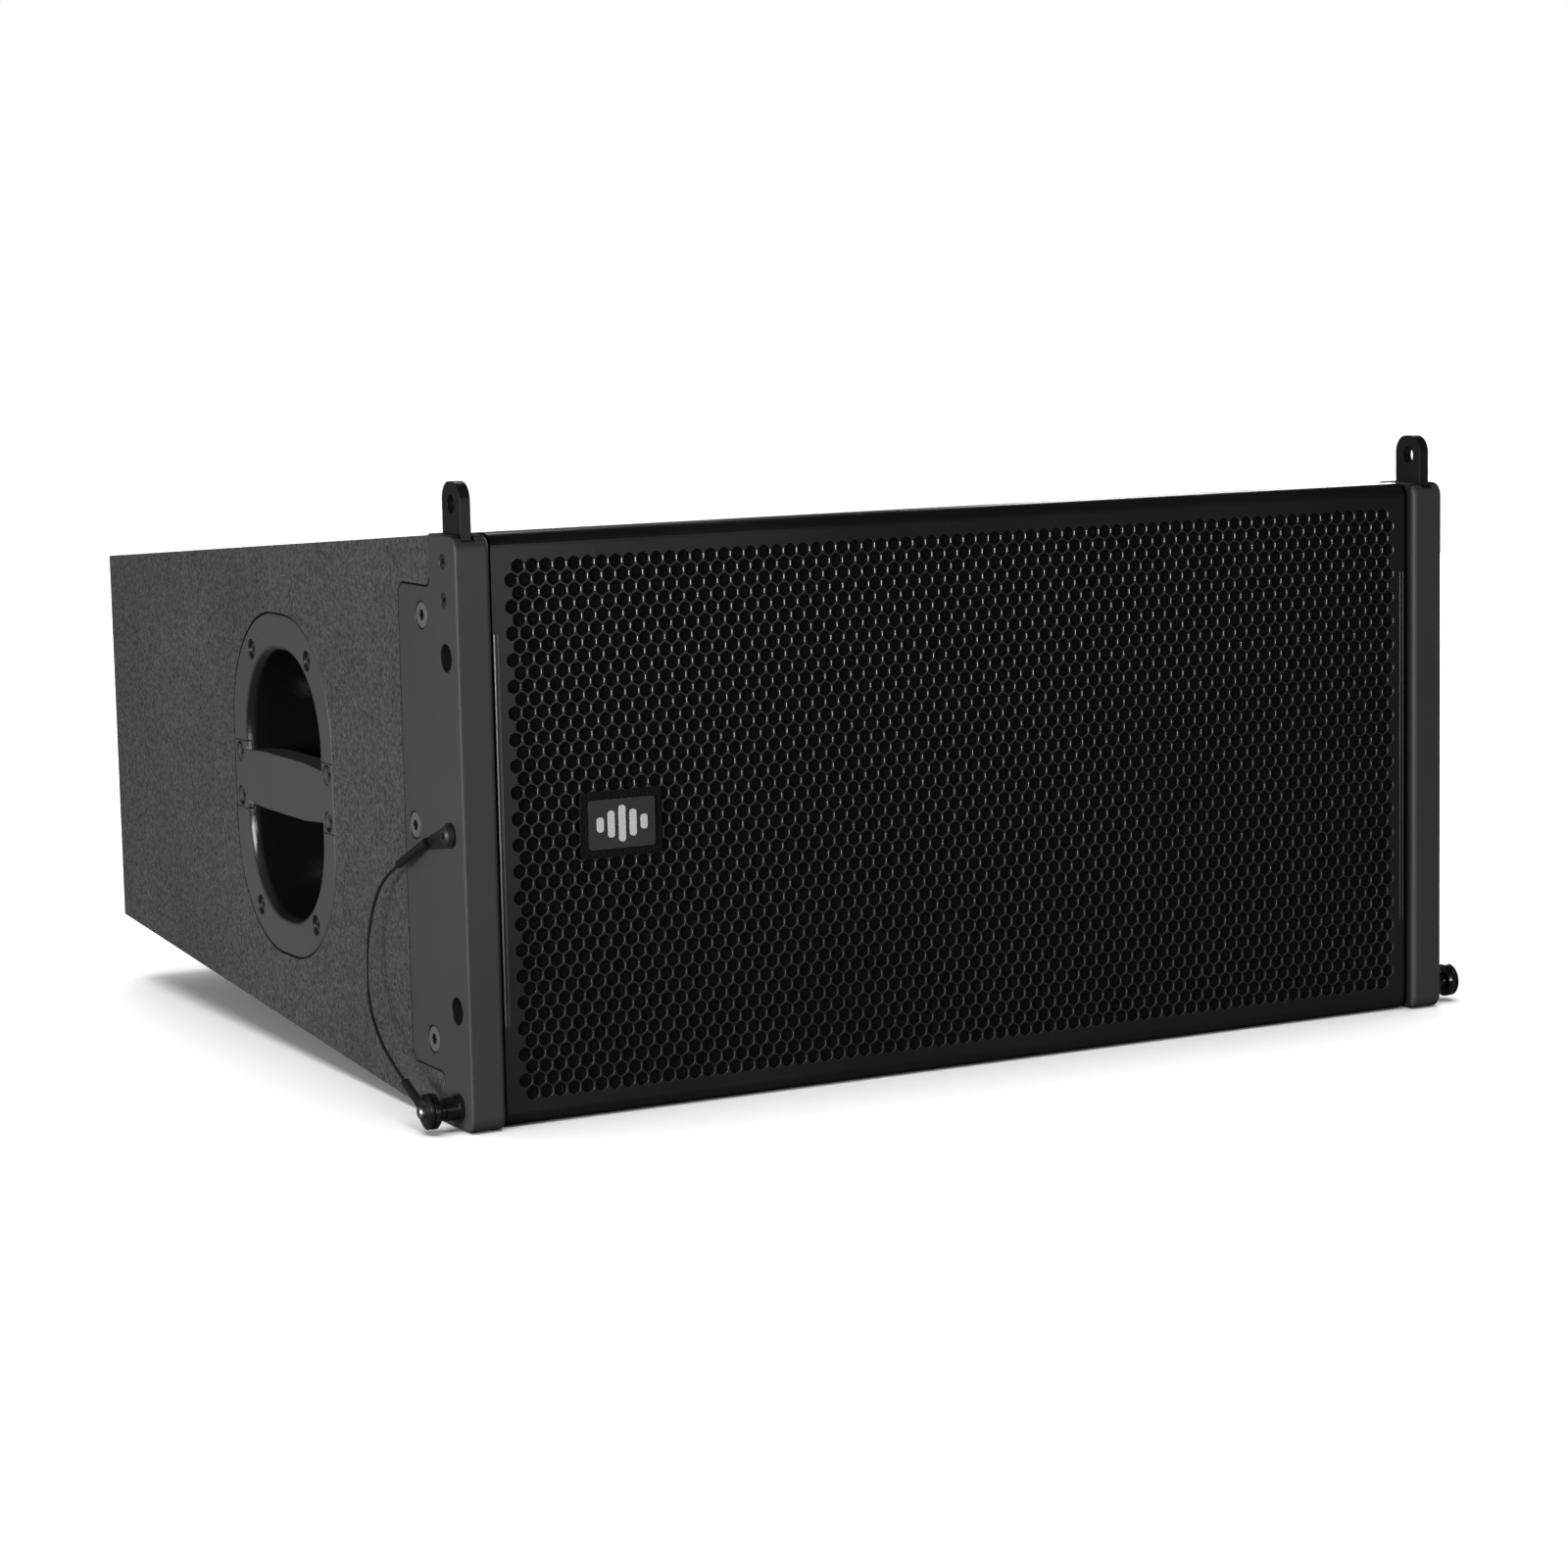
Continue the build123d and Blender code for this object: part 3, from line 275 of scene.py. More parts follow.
MATERIALS = {
    "cabinet_paint": surface("cabinet_paint", **PAINT, worn=0.1),
    "side_paint": surface("side_paint", **PAINT, worn=0.1),
    "inner_wood": surface(
        "inner_wood", (0.028, 0.025, 0.022), (0.05, 0.045, 0.038), 0.7, 0.0016,
        stretch=(1, 1, 0.08), bump=0.3, height=0.0003),
    "rig_steel": surface("rig_steel", **POWDER_COAT),
    "rail_steel": surface("rail_steel", **POWDER_COAT | {"worn": 0.045, "soft_edge": 0.0012}),
    "black_screw": surface(
        "black_screw", 0.030, 0.045, 0.38, 0.0006, bump=0.2, height=0.00008, Metallic=0.5, soft_edge=0.0003),
    "grille_steel": surface(
        "grille_steel", 0.007, 0.011, 0.33, 0.0008, bump=0.12, height=0.00008),
    "plate_screw": surface(
        "plate_screw", 0.1, 0.125, 0.42, 0.0007, bump=0.15, height=0.00008, soft_edge=0.0003),
    "handle_screw": surface(
        "handle_screw", 0.05, 0.065, 0.38, 0.0007, bump=0.15, height=0.00008, Metallic=0.4,
        soft_edge=0.0003),
    "lug_steel": surface(
        "lug_steel", 0.008, 0.012, 0.42, 0.0009, bump=0.15, height=0.0001, soft_edge=0.0006,
        Specular_IOR_Level=0.3),
    "acoustic_foam": surface(
        "acoustic_foam", 0.002, 0.007, 0.95, 0.0011, pattern="cells", bump=0.9, height=0.0008,
        Specular_IOR_Level=0.3),
    # Hole walls and chamfers: a lighter copy of the grille steel, a painted highlight on the walls that face
    # the light
    "grille_edge_highlight": surface(
        "grille_edge_highlight", 0.024, 0.032, 0.24, 0.0008, spread=0.04, bump=0.12, height=0.00008,
        Specular_IOR_Level=1.0),
    # The left hem's lighter metal is a painted highlight; the right hem keeps the grille steel
    "hem_highlight_steel": surface("hem_highlight_steel", 0.2, 0.27, 0.34, 0.0008, bump=0.12, height=0.00008, Metallic=1.0),
    "badge_metal": surface(
        "badge_metal", 0.024, 0.031, 0.4, 0.0005, stretch=(0.15, 1, 1), bump=0.15, height=0.00005),
    "badge_white": surface(
        "badge_white", 0.74, 0.84, 0.42, 0.0006, bump=0.12, height=0.00005),
    "handle_plastic": surface("handle_plastic", **MOULDING),
    "grip_plastic": surface("grip_plastic", **MOULDING),
    "basket_aluminium": surface(
        "basket_aluminium", 0.03, 0.05, 0.5, 0.0012, bump=0.35, height=0.0002, Metallic=0.4),
    "magnet_iron": surface(
        "magnet_iron", 0.045, 0.11, 0.45, 0.0018, bump=0.3, height=0.0002, Metallic=0.6),
    "cone_paper": surface(
        "cone_paper", 0.014, 0.034, 0.85, 0.0014, pattern="cells", bump=0.5, height=0.0003),
    "edge_rubber": surface(
        "edge_rubber", 0.008, 0.016, 0.6, 0.001, bump=0.2, height=0.0001),
    "spider_cloth": surface(
        "spider_cloth", (0.26, 0.16, 0.06), (0.5, 0.34, 0.15), 0.8, 0.0011, pattern="weave",
        bump=0.7, height=0.0003),
    "coil_copper": surface(
        "coil_copper", (0.42, 0.14, 0.05), (0.78, 0.34, 0.14), 0.35, 0.0008, pattern="turns",
        bump=0.8, height=0.0003, Metallic=0.8),
    "waveguide_plastic": surface(
        "waveguide_plastic", 0.014, 0.022, 0.4, 0.0008, bump=0.2, height=0.0001),
    "driver_metal": surface(
        "driver_metal", 0.035, 0.06, 0.42, 0.0014, bump=0.3, height=0.0002, Metallic=0.4),
    "board_green": surface(
        "board_green", (0.012, 0.08, 0.03), (0.03, 0.15, 0.06), 0.35, 0.006, pattern="cells",
        bump=0.3, height=0.0001, Coat_Weight=0.3),
    "capacitor_film": surface(
        "capacitor_film", (0.5, 0.36, 0.07), (0.66, 0.5, 0.12), 0.3, 0.002, bump=0.15, height=0.0001),
    "damping_felt": surface(
        "damping_felt", 0.14, 0.3, 0.95, 0.0014, bump=0.9, height=0.001, Sheen_Weight=0.3),
    "input_metal": surface(
        "input_metal", 0.022, 0.036, 0.5, 0.0009, bump=0.4, height=0.0002, worn=0.1, soft_edge=0.0005),
    "connector_plastic": surface(
        "connector_plastic", 0.012, 0.024, 0.45, 0.0007, bump=0.25, height=0.0001, soft_edge=0.0004),
    "pin_black": surface(
        "pin_black", 0.003, 0.005, 0.16, 0.002, spread=0.05, bump=0.06, height=0.0001,
        Coat_Weight=0.6, Coat_Roughness=0.08, soft_edge=0.0003),
    "button_steel": surface(
        "button_steel", 0.32, 0.5, 0.3, 0.0005, stretch=(0.1, 1, 1), bump=0.2, height=0.00005, Metallic=1.0),
    "lanyard_steel": surface(
        "lanyard_steel", 0.003, 0.007, 0.45, 0.0007, bump=0.3, height=0.0001, soft_edge=0.0003),
}

for subpart in frame["record"]["subparts"]:
    NODES[subpart["node"]].material_slots[0].material = MATERIALS[subpart["material_slot"]]

# Nodes whose material is made for them, not only for their slot
SPECIAL = {
    "lug_steel": ("lug_left", "lug_right"),
    "plate_screw": ("rig_frame_screws",),
    "handle_screw": ("handle_screws",),
    "grip_plastic": ("grip_left", "grip_right"),
    "side_paint": ("panel_left", "panel_right"),
    "rail_steel": ("rig_frame_left", "rig_frame_right"),
}
for special, nodes in SPECIAL.items():
    for name in nodes:
        NODES[name].material_slots[0].material = MATERIALS[special]

gloss_inside(MATERIALS["handle_plastic"], "handle_left")
gloss_inside(MATERIALS["grip_plastic"], "grip_left", BAR_HALF_HEIGHT)
PANEL_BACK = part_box("panel_left")[1].y
RAIL_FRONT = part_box("rig_frame_left")[0].y
# Painted shade: near black below each part's outer face, in pockets, seams, screw sockets and the rails'
# access holes
painted_shade_below(MATERIALS["side_paint"], "panel_left", 0.4 * MM, 0.9 * MM, ahead=PANEL_BACK - 4 * MM)
painted_shade_below(MATERIALS["plate_screw"], "rig_frame_screws", 0.3 * MM, 0.55 * MM)
painted_shade_below(MATERIALS["handle_screw"], "handle_screws", 0.3 * MM, 0.5 * MM)
painted_shade_below(MATERIALS["rail_steel"], "rig_frame_left", 0.1 * MM, 0.4 * MM, behind=RAIL_FRONT + 3 * MM)


# ---------------------------------------------------------------- the left pin's lanyard wire

WIRE_ROUTE = [
    (-0.2800, -0.1935, 0.1175), (-0.2814, -0.1785, 0.1100), (-0.2823, -0.1665, 0.0965),
    (-0.2833, -0.1597, 0.0795), (-0.2848, -0.1591, 0.0615), (-0.2866, -0.1675, 0.0460),
    (-0.2884, -0.1815, 0.0350), (-0.2898, -0.1990, 0.0265), (-0.2902, -0.2165, 0.0197),
]
WIRE_RADIUS = 0.00075
WIRE_SIDES = 12


def route_line(points, resolution=24):
    """Points along the NURBS spline that has these control points."""
    curve = bpy.data.curves.new("route", "CURVE")
    curve.dimensions = "3D"
    curve.resolution_u = resolution
    spline = curve.splines.new("NURBS")
    spline.points.add(len(points) - 1)
    for point, place in zip(spline.points, points):
        point.co = (*place, 1.0)
    spline.order_u = 3
    spline.use_endpoint_u = True
    holder = bpy.data.objects.new("route", curve)
    mesh = bpy.data.meshes.new_from_object(holder)
    line = [v.co.copy() for v in mesh.vertices]
    bpy.data.objects.remove(holder)
    bpy.data.curves.remove(curve)
    bpy.data.meshes.remove(mesh)
    return line


def tube(name, line, radius, sides, material):
    """A capped mesh tube along a line."""
    vertices, faces = [], []
    side = Vector((1, 0, 0))
    for i, place in enumerate(line):
        along = (line[min(i + 1, len(line) - 1)] - line[max(i - 1, 0)]).normalized()
        side = (side - along * side.dot(along)).normalized()
        other = along.cross(side)
        for k in range(sides):
            turn = 2 * math.pi * k / sides
            vertices.append(place + radius * (math.cos(turn) * side + math.sin(turn) * other))
    for i in range(len(line) - 1):
        for k in range(sides):
            a, b = i * sides + k, i * sides + (k + 1) % sides
            faces.append((a, b, b + sides, a + sides))
    faces.append(tuple(reversed(range(sides))))
    faces.append(tuple(range(len(vertices) - sides, len(vertices))))
    return make_object(name, vertices, faces, material, smooth=True)


wire_line = route_line(WIRE_ROUTE)
wire = tube("lanyard_wire_strand", wire_line, WIRE_RADIUS, WIRE_SIDES, MATERIALS["lanyard_steel"])
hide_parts("lanyard_wire")
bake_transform(wire)


# ---------------------------------------------------------------- grille mesh

PITCH = 7 * MM
ROW_STEP = PITCH * math.sqrt(3) / 2
ROWS = 20                                # rows above and below the middle one
HALF_HOLES = 35                          # holes each side of the middle in the long rows
HOLE_FLATS = 6.05 * MM
CORNER_CUT = 0.75 * MM                   # how much of each side a hole's rounded corner takes
CHAMFER, CHAMFER_DEPTH = 0.25 * MM, 0.3 * MM
SHEET = 1.5 * MM
FOLD_R = 6.5 * MM
FOLD_STEPS = 8
HALF_W = GRILLE_HIGH.x - 1.2 * MM
FLAT_TOP = GRILLE_HIGH.z - MID_Z - FOLD_R
HEM_LOW, HEM_HIGH = -92 * MM, 94 * MM    # the part of the side edges that has a hem


def hexagon(radius):
    return [(radius * math.cos(math.radians(90 + 60 * k)), radius * math.sin(math.radians(90 + 60 * k)))
            for k in range(6)]


def grille_cells():
    """The centre of each hole, by its row and its place along the row in half pitches."""
    for row in range(-ROWS, ROWS + 1):
        reach = 2 * HALF_HOLES if row % 2 else 2 * HALF_HOLES - 1
        for half_steps in range(-reach, reach + 1, 2):
            yield (row, half_steps), (half_steps * PITCH / 2, row * ROW_STEP)


CELLS = dict(grille_cells())
CELL_CORNERS = hexagon(PITCH / math.sqrt(3))
# The neighbour across each side of a cell, from the upper left round to the upper right
ACROSS = [(1, -1), (0, -2), (-1, -1), (-1, 1), (0, 2), (1, 1)]


def rounded_hexagon(flats, corner_cut):
    """Twelve points: each corner of a hexagon cut back to two."""
    corners = [np.array(c) for c in hexagon(flats / math.sqrt(3))]
    points = []
    for k, corner in enumerate(corners):
        for other in (corners[k - 1], corners[(k + 1) % 6]):
            way = other - corner
            points.append(tuple(corner + way / np.linalg.norm(way) * corner_cut))
    return points


def corner_place(cell, k):
    return CELLS[cell][0] + CELL_CORNERS[k][0], CELLS[cell][1] + CELL_CORNERS[k][1]


def corner_key(cell, k):
    """The same for every cell that meets at a corner."""
    x, z = corner_place(cell, k)
    return round(x / PITCH * 6), round(z / PITCH * 6)


def web_faces(points, faces, rims):
    """The web between the holes, whose outlines are rims[cell]: 12 indices, two for each corner."""
    corner_index = {}

    def corner(cell, k):
        key = corner_key(cell, k)
        if key not in corner_index:
            corner_index[key] = len(points)
            points.append(corner_place(cell, k))
        return corner_index[key]

    meetings = {}
    for cell in CELLS:
        rim = rims[cell]
        for k in range(6):
            meetings.setdefault(corner_key(cell, k), {})[k] = cell
            near, far = rim[2 * k + 1], rim[(2 * k + 2) % 12]
            other = (cell[0] + ACROSS[k][0], cell[1] + ACROSS[k][1])
            if other not in CELLS:
                faces.append((corner(cell, k), corner(cell, (k + 1) % 6), far, near))
            elif k in (0, 4, 5):
                theirs, m = rims[other], (k + 3) % 6
                sides = [near, theirs[(2 * m + 2) % 12], theirs[2 * m + 1], far]
                faces.append(tuple(i for n, i in enumerate(sides) if i != sides[n - 1]))
    for around in meetings.values():
        if len(around) == 3:
            sides = [rims[around[k]][2 * k + i] for k in sorted(around) for i in (1, 0)]
            faces.append(tuple(i for n, i in enumerate(sides) if i != sides[n - 1]))
            continue
        for k, cell in around.items():
            hub, rim, m = corner(cell, k), rims[cell], (k + 2) % 6
            if rim[2 * k] != rim[2 * k + 1]:
                faces.append((hub, rim[2 * k + 1], rim[2 * k]))
            if m in around:
                faces.append((hub, rim[2 * k], rims[around[m]][2 * m + 1]))


def free_edges(faces):
    """Directed edges that only one face uses."""
    seen = set()
    for face in faces:
        for a, b in zip(face, face[1:] + face[:1]):
            if (b, a) in seen:
                seen.remove((b, a))
            else:
                seen.add((a, b))
    return seen


def inside(x, z, loop):
    """Whether a point is inside a polygon, by counting crossings."""
    x0, z0 = loop[:, 0], loop[:, 1]
    x1, z1 = np.roll(x0, -1), np.roll(z0, -1)
    crosses = (z0 > z) != (z1 > z)
    with np.errstate(divide="ignore", invalid="ignore"):
        at = x0 + (z - z0) / (z1 - z0) * (x1 - x0)
    return bool(np.count_nonzero(crosses & (x < at)) % 2)


def border_faces(points, faces, outline):
    """Fills between the outermost cells and the sheet's outline, and returns the outline's indices."""
    follow = {a: b for a, b in free_edges(faces)}
    start = min(follow, key=lambda v: points[v][1])
    loop, here = [start], follow[start]
    while here != start:
        loop.append(here)
        here = follow[here]
    rim = list(range(len(points), len(points) + len(outline)))
    points.extend(outline)
    used = loop + rim
    local = {v: i for i, v in enumerate(used)}
    sides = [(a, b) for ring in (loop, rim) for a, b in zip(ring, ring[1:] + ring[:1])]
    made = delaunay_2d_cdt(
        [Vector(points[v]) for v in used], [(local[a], local[b]) for a, b in sides], [], 0, 1e-7
    )
    places, triangles, origins = made[0], made[2], made[3]
    to_global = [used[o[0]] for o in origins]
    hole_loop = np.array([points[v] for v in loop])
    outer = np.array(outline)
    for triangle in triangles:
        x, z = np.mean([places[i] for i in triangle], axis=0)
        if inside(x, z, outer) and not inside(x, z, hole_loop):
            faces.append(tuple(to_global[i] for i in triangle))
    return rim


def fold_profile():
    """Front and back points of the fold, as (y, z) from the sheet's front and its middle."""
    inner_r = FOLD_R - SHEET
    for i in range(FOLD_STEPS):
        turn = math.pi / 2 * (i + 1) / FOLD_STEPS
        rise, depth = math.sin(turn), 1 - math.cos(turn)
        yield (FOLD_R * depth, FLAT_TOP + FOLD_R * rise), (SHEET + inner_r * depth, FLAT_TOP + inner_r * rise)
    reach = GRILLE_HIGH.y - GRILLE_FRONT
    yield (reach, FLAT_TOP + FOLD_R), (reach, FLAT_TOP + FOLD_R - SHEET)


def grille_sheet():
    """The folded sheet: a front with chamfered rounded hexagons, a back, and walls between them."""
    front, back = [], []
    front_faces, back_faces = [], []
    front_rims, back_rims = {}, {}
    wide = rounded_hexagon(HOLE_FLATS + 2 * CHAMFER, CORNER_CUT)
    sharp = hexagon(HOLE_FLATS / math.sqrt(3))
    for cell, (x, z) in CELLS.items():
        front_rims[cell] = list(range(len(front), len(front) + 12))
        front.extend((x + dx, z + dz) for dx, dz in wide)
        first = len(back)
        back_rims[cell] = [first + k // 2 for k in range(12)]
        back.extend((x + dx, z + dz) for dx, dz in sharp)
    web_faces(front, front_faces, front_rims)
    web_faces(back, back_faces, back_rims)
    outline = [(-HALF_W, -FLAT_TOP), (HALF_W, -FLAT_TOP), (HALF_W, FLAT_TOP), (-HALF_W, FLAT_TOP)]
    front_rim = border_faces(front, front_faces, outline)
    back_rim = border_faces(back, back_faces, outline)
    vertices = [(x, GRILLE_FRONT, MID_Z + z) for x, z in front]
    offset = len(vertices)
    vertices += [(x, GRILLE_FRONT + SHEET, MID_Z + z) for x, z in back]
    backs = [tuple(offset + i for i in face) for face in back_faces]
    behind = {f: offset + b for f, b in zip(front_rim, back_rim)}
    for sign, ends in ((1, (front_rim[3], front_rim[2])), (-1, (front_rim[0], front_rim[1]))):
        for outer, inner in fold_profile():
            here = (len(vertices), len(vertices) + 1)
            for y, z in (outer, inner):
                vertices += [(x, GRILLE_FRONT + y, MID_Z + sign * z) for x in (-HALF_W, HALF_W)]
            behind.update({here[0]: here[0] + 2, here[1]: here[1] + 2})
            quad = (ends[0], ends[1], here[1], here[0])
            front_faces.append(quad if sign > 0 else quad[::-1])
            backs.append(tuple(behind[i] for i in front_faces[-1]))
            ends = here
    walls = [
        (b, a, behind[a], behind[b]) for a, b in free_edges(front_faces) if a in behind and b in behind
    ]
    narrow = rounded_hexagon(HOLE_FLATS, CORNER_CUT)
    for cell, (x, z) in CELLS.items():
        first = len(vertices)
        vertices += [(x + dx, GRILLE_FRONT + CHAMFER_DEPTH, MID_Z + z + dz) for dx, dz in narrow]
        rim = front_rims[cell]
        corners = [offset + i for i in back_rims[cell][::2]]
        for k in range(12):
            after = (k + 1) % 12
            walls.append((rim[k], rim[after], first + after, first + k))
        for k in range(6):
            a, b, after = first + 2 * k, first + 2 * k + 1, first + (2 * k + 2) % 12
            walls.append((a, b, corners[k]))
            walls.append((b, after, corners[(k + 1) % 6], corners[k]))
    flats = front_faces + [face[::-1] for face in backs]
    return vertices, flats + sorted(walls), len(flats)


def hem_bead(side):
    """The rolled hem along one side edge: two ridges with a groove between them, tapered off at
    both ends."""
    profile = [(0.0, 1.3), (0.0, 0.1), (0.2, -0.25), (0.8, -0.3), (1.2, 0.1), (1.7, 0.1), (2.1, -0.3),
               (2.7, -0.25), (2.9, 0.1), (2.9, 1.3)]
    heights = [(HEM_LOW, 0.0), (HEM_LOW + 3 * MM, 1.0), (HEM_HIGH - 3 * MM, 1.0), (HEM_HIGH, 0.0)]
    count = len(profile)
    vertices = [
        (side * (HALF_W - x * MM), GRILLE_FRONT + (y if full or y > 1 else 0.6) * MM, MID_Z + z)
        for z, full in heights for x, y in profile
    ]
    faces = []
    for ring in range(len(heights) - 1):
        for i in range(count):
            a, b = ring * count + i, ring * count + (i + 1) % count
            faces.append((a, b, b + count, a + count))
    faces += [tuple(range(count)), tuple(range(len(vertices) - 1, len(vertices) - count - 1, -1))]
    return vertices, faces


def join_parts(name, parts, material):
    vertices, faces = [], []
    for part_vertices, part_faces in parts:
        offset = len(vertices)
        vertices += part_vertices
        faces += [tuple(i + offset for i in face) for face in part_faces]
    obj = make_object(name, vertices, faces, material)
    shape = bmesh.new()
    shape.from_mesh(obj.data)
    bmesh.ops.recalc_face_normals(shape, faces=shape.faces)
    shape.to_mesh(obj.data)
    shape.free()
    return obj


sheet_vertices, sheet_faces, flat_count = grille_sheet()
grille = join_parts("grille_mesh", [(sheet_vertices, sheet_faces)], MATERIALS["grille_steel"])
# Hole walls and chamfers take the lighter material: a painted highlight
grille.data.materials.append(MATERIALS["grille_edge_highlight"])
grille.data.polygons.foreach_set("material_index", [int(i >= flat_count) for i in range(len(sheet_faces))])
# A painted highlight on the left hem only; both hems are the same steel
hem_left = join_parts("grille_hem_left", [hem_bead(-1)], MATERIALS["hem_highlight_steel"])
hem_right = join_parts("grille_hem_right", [hem_bead(1)], MATERIALS["grille_steel"])
for piece in (grille, hem_left, hem_right):
    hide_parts("grille")
    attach(piece, "cabinet")


# ---------------------------------------------------------------- foam behind the grille

def foam_sheet(low, high):
    """Open-cell foam filling a box: its front face sinks and bulges, its back is flat."""
    across, up = (round((high[axis] - low[axis]) / FOAM_STEP) for axis in (0, 2))
    columns, count = across + 1, (across + 1) * (up + 1)
    front, back = [], []
    for j in range(up + 1):
        for i in range(columns):
            x = low.x + (high.x - low.x) * i / across
            z = low.z + (high.z - low.z) * j / up
            lump = noise.noise(Vector((x, 0, z)) / FOAM_LUMP)
            front.append((x, low.y + FOAM_RELIEF * (1 + lump) / 2, z))
            back.append((x, high.y, z))
    faces = []
    for j in range(up):
        for a in range(j * columns, j * columns + across):
            faces.append((a, a + 1, a + columns + 1, a + columns))
            faces.append(tuple(count + v for v in (a, a + columns, a + columns + 1, a + 1)))
    edge = list(range(columns)) + [j * columns + across for j in range(1, up + 1)]
    edge += [up * columns + i for i in reversed(range(across))] + [j * columns for j in range(up - 1, 0, -1)]
    faces += [(b, a, a + count, b + count) for a, b in zip(edge, edge[1:] + edge[:1])]
    return front + back, faces


FOAM_STEP, FOAM_LUMP, FOAM_RELIEF = 3.5 * MM, 6.0 * MM, 1.6 * MM
foam_vertices, foam_faces = foam_sheet(*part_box("grille_foam"))
foam = make_object("grille_foam_sheet", foam_vertices, foam_faces, MATERIALS["acoustic_foam"], smooth=True)
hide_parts("grille_foam")
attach(foam, "cabinet")


# ---------------------------------------------------------------- a dark ring round the badge

def rounded_rectangle(half_w, half_h, radius, steps=6):
    points = []
    for cx, cz, start in ((1, 1, 0), (-1, 1, 90), (-1, -1, 180), (1, -1, 270)):
        for i in range(steps + 1):
            t = math.radians(start + 90 * i / steps)
            points.append((cx * (half_w - radius) + radius * math.cos(t),
                           cz * (half_h - radius) + radius * math.sin(t)))
    return points


badge_low, badge_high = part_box("badge_plate")
badge_x = (badge_low.x + badge_high.x) / 2


def badge_surround():
    """A near-black ring round the badge, on the mesh."""
    half_w, half_h = (badge_high.x - badge_low.x) / 2, (badge_high.z - badge_low.z) / 2
    rings = [
        (half_w + 0.2 * MM, half_h + 0.2 * MM, 1.6 * MM, 0.0),
        (half_w + 0.2 * MM, half_h + 0.2 * MM, 1.6 * MM, -0.3 * MM),
        (half_w + 3.4 * MM, half_h + 3.4 * MM, 2.0 * MM, -0.4 * MM),
        (half_w + 4.0 * MM, half_h + 4.0 * MM, 2.2 * MM, -0.1 * MM),
        (half_w + 4.1 * MM, half_h + 4.1 * MM, 2.2 * MM, 0.0),
    ]
    vertices, faces = [], []
    for w, h, r, y in rings:
        vertices += [(badge_x + x, GRILLE_FRONT + y, MID_Z + z) for x, z in rounded_rectangle(w, h, r)]
    count = len(vertices) // len(rings)
    for ring in range(len(rings)):
        for i in range(count):
            a, b = ring * count + i, ring * count + (i + 1) % count
            c, d = ((ring + 1) % len(rings)) * count + (i + 1) % count, ((ring + 1) % len(rings)) * count + i
            faces.append((a, b, c, d))
    return vertices, faces


surround = join_parts("badge_dark_ring", [badge_surround()], MATERIALS["acoustic_foam"])
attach(surround, "cabinet")


# ---------------------------------------------------------------- studio

def area_light(name, place, target, size, power, size_y=None):
    light = bpy.data.lights.new(name, "AREA")
    light.shape = "RECTANGLE"
    light.size, light.size_y = size, size_y or size
    light.energy = power
    obj = bpy.data.objects.new(name, light)
    bpy.context.scene.collection.objects.link(obj)
    obj.location = place
    obj.rotation_euler = (Vector(target) - Vector(place)).to_track_quat("-Z", "Y").to_euler()
    obj.visible_camera = False


LIT_FROM = (-0.86, -0.48, 0.16)


def build_world():
    """White behind the object; the light that it gives comes mostly from the front left."""
    world = bpy.data.worlds.new("studio")
    bpy.context.scene.world = world
    world.use_nodes = True
    tree = world.node_tree
    tree.nodes.clear()
    ray = add(tree, "ShaderNodeTexCoord").outputs["Generated"]
    facing = add(tree, "ShaderNodeVectorMath", {"operation": "DOT_PRODUCT"}, _0=ray, _1=LIT_FROM)
    level = map_range(tree, facing.outputs["Value"], 0.05, 0.95, 0.03, 0.34)
    lit = add(tree, "ShaderNodeBackground", Color=(1, 1, 1, 1), Strength=level).outputs[0]
    seen = add(tree, "ShaderNodeBackground", Color=(1, 1, 1, 1), Strength=1.0).outputs[0]
    camera_ray = add(tree, "ShaderNodeLightPath").outputs["Is Camera Ray"]
    both = add(tree, "ShaderNodeMixShader", _0=camera_ray, _1=lit, _2=seen).outputs[0]
    out = add(tree, "ShaderNodeOutputWorld")
    tree.links.new(both, out.inputs["Surface"])


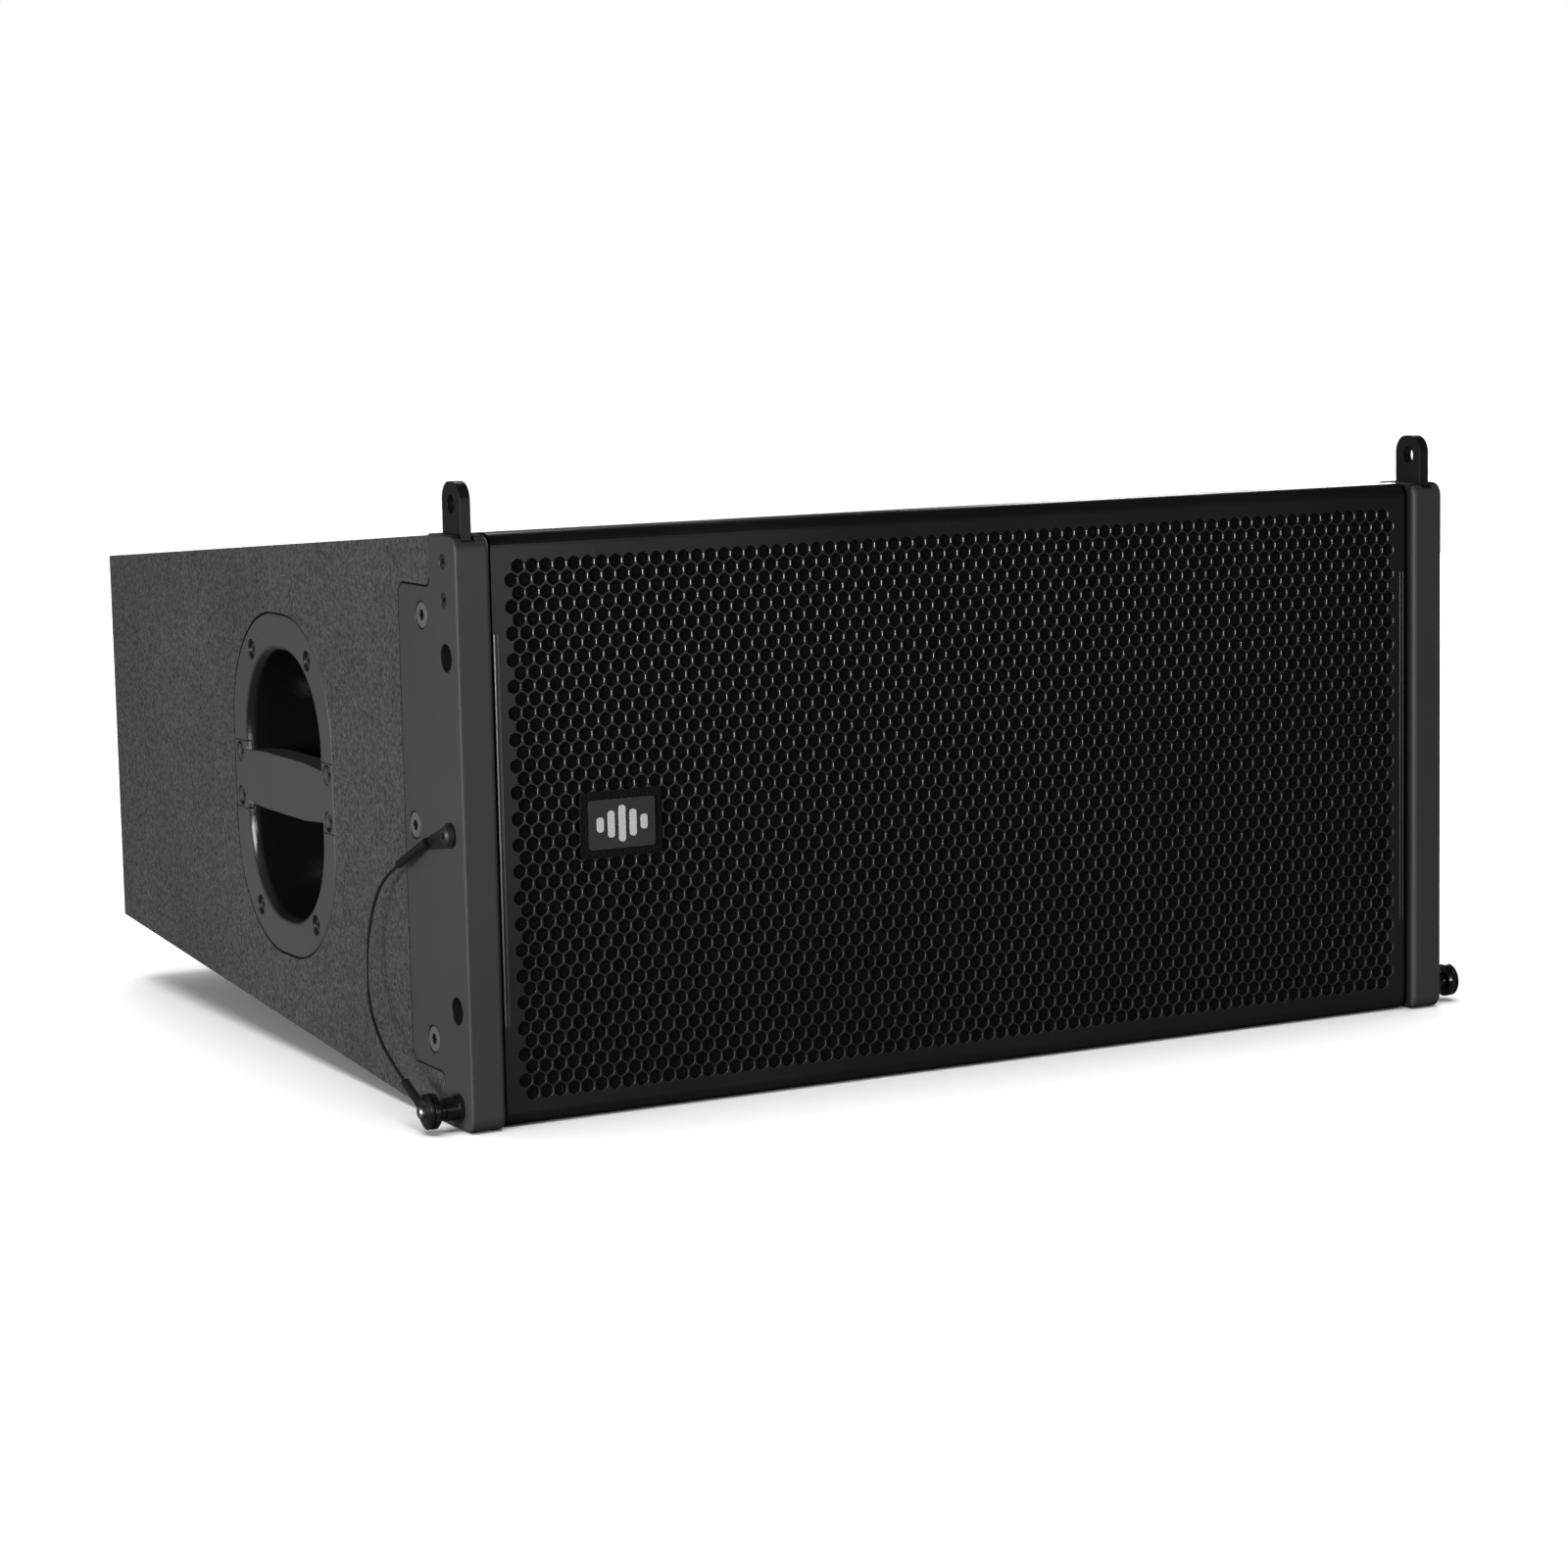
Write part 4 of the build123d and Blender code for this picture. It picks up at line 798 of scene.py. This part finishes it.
def floor_paper():
    """Pale paper; it throws little light back up at the object."""
    material = bpy.data.materials.new("floor_paper")
    material.use_nodes = True
    tree = material.node_tree
    tree.nodes.clear()
    place = add(tree, "ShaderNodeTexCoord").outputs["Object"]
    grain = add(tree, "ShaderNodeTexNoise", Vector=place, Scale=900.0, Detail=2.0).outputs["Fac"]
    tone = mix_colour(tree, grain, grey(0.89), grey(0.93))
    pale = add(tree, "ShaderNodeBsdfDiffuse", Color=tone).outputs[0]
    dim = add(tree, "ShaderNodeBsdfDiffuse", Color=grey(0.1)).outputs[0]
    camera_ray = add(tree, "ShaderNodeLightPath").outputs["Is Camera Ray"]
    both = add(tree, "ShaderNodeMixShader", _0=camera_ray, _1=dim, _2=pale).outputs[0]
    out = add(tree, "ShaderNodeOutputMaterial")
    tree.links.new(both, out.inputs["Surface"])
    return material


build_world()
floor = make_object(
    "floor", [(-60, -60, 0), (60, -60, 0), (60, 60, 0), (-60, 60, 0)], [(0, 1, 2, 3)], floor_paper()
)
area_light("key", (-2.7, -0.95, 0.42), (-0.1, 0, 0.14), 1.5, 65, size_y=1.1)
area_light("front_strip", (0.25, -2.3, 0.25), (-0.15, -0.2, 0.15), 0.2, 4.6, size_y=0.45)
area_light("front_left", (-1.9, -2.0, 0.3), (0, -0.2, 0.12), 0.12, 6, size_y=0.5)
area_light("rear_fill", (2.2, 2.0, 0.7), (0, 0.1, 0.15), 1.4, 30)
area_light("low_bounce", (-1.15, -0.4, 0.07), (-0.27, 0, 0.14), 0.6, 0.7, size_y=0.16)
area_light("right_fill", (2.9, 0.2, 0.6), (0.2, 0, 0.14), 1.2, 24)
area_light("top_fill", (0.5, 2.4, 2.5), (0, 0.2, 0.2), 1.4, 22)

sun = bpy.data.objects.new("floor_light", bpy.data.lights.new("floor_light", "SUN"))
bpy.context.scene.collection.objects.link(sun)
sun.data.energy = 3.5
sun.data.angle = math.radians(60)
lit_by_sun = bpy.data.collections.new("floor_only")
lit_by_sun.objects.link(floor)
sun.light_linking.receiver_collection = lit_by_sun

bpy.context.scene.view_settings.view_transform = "Standard"
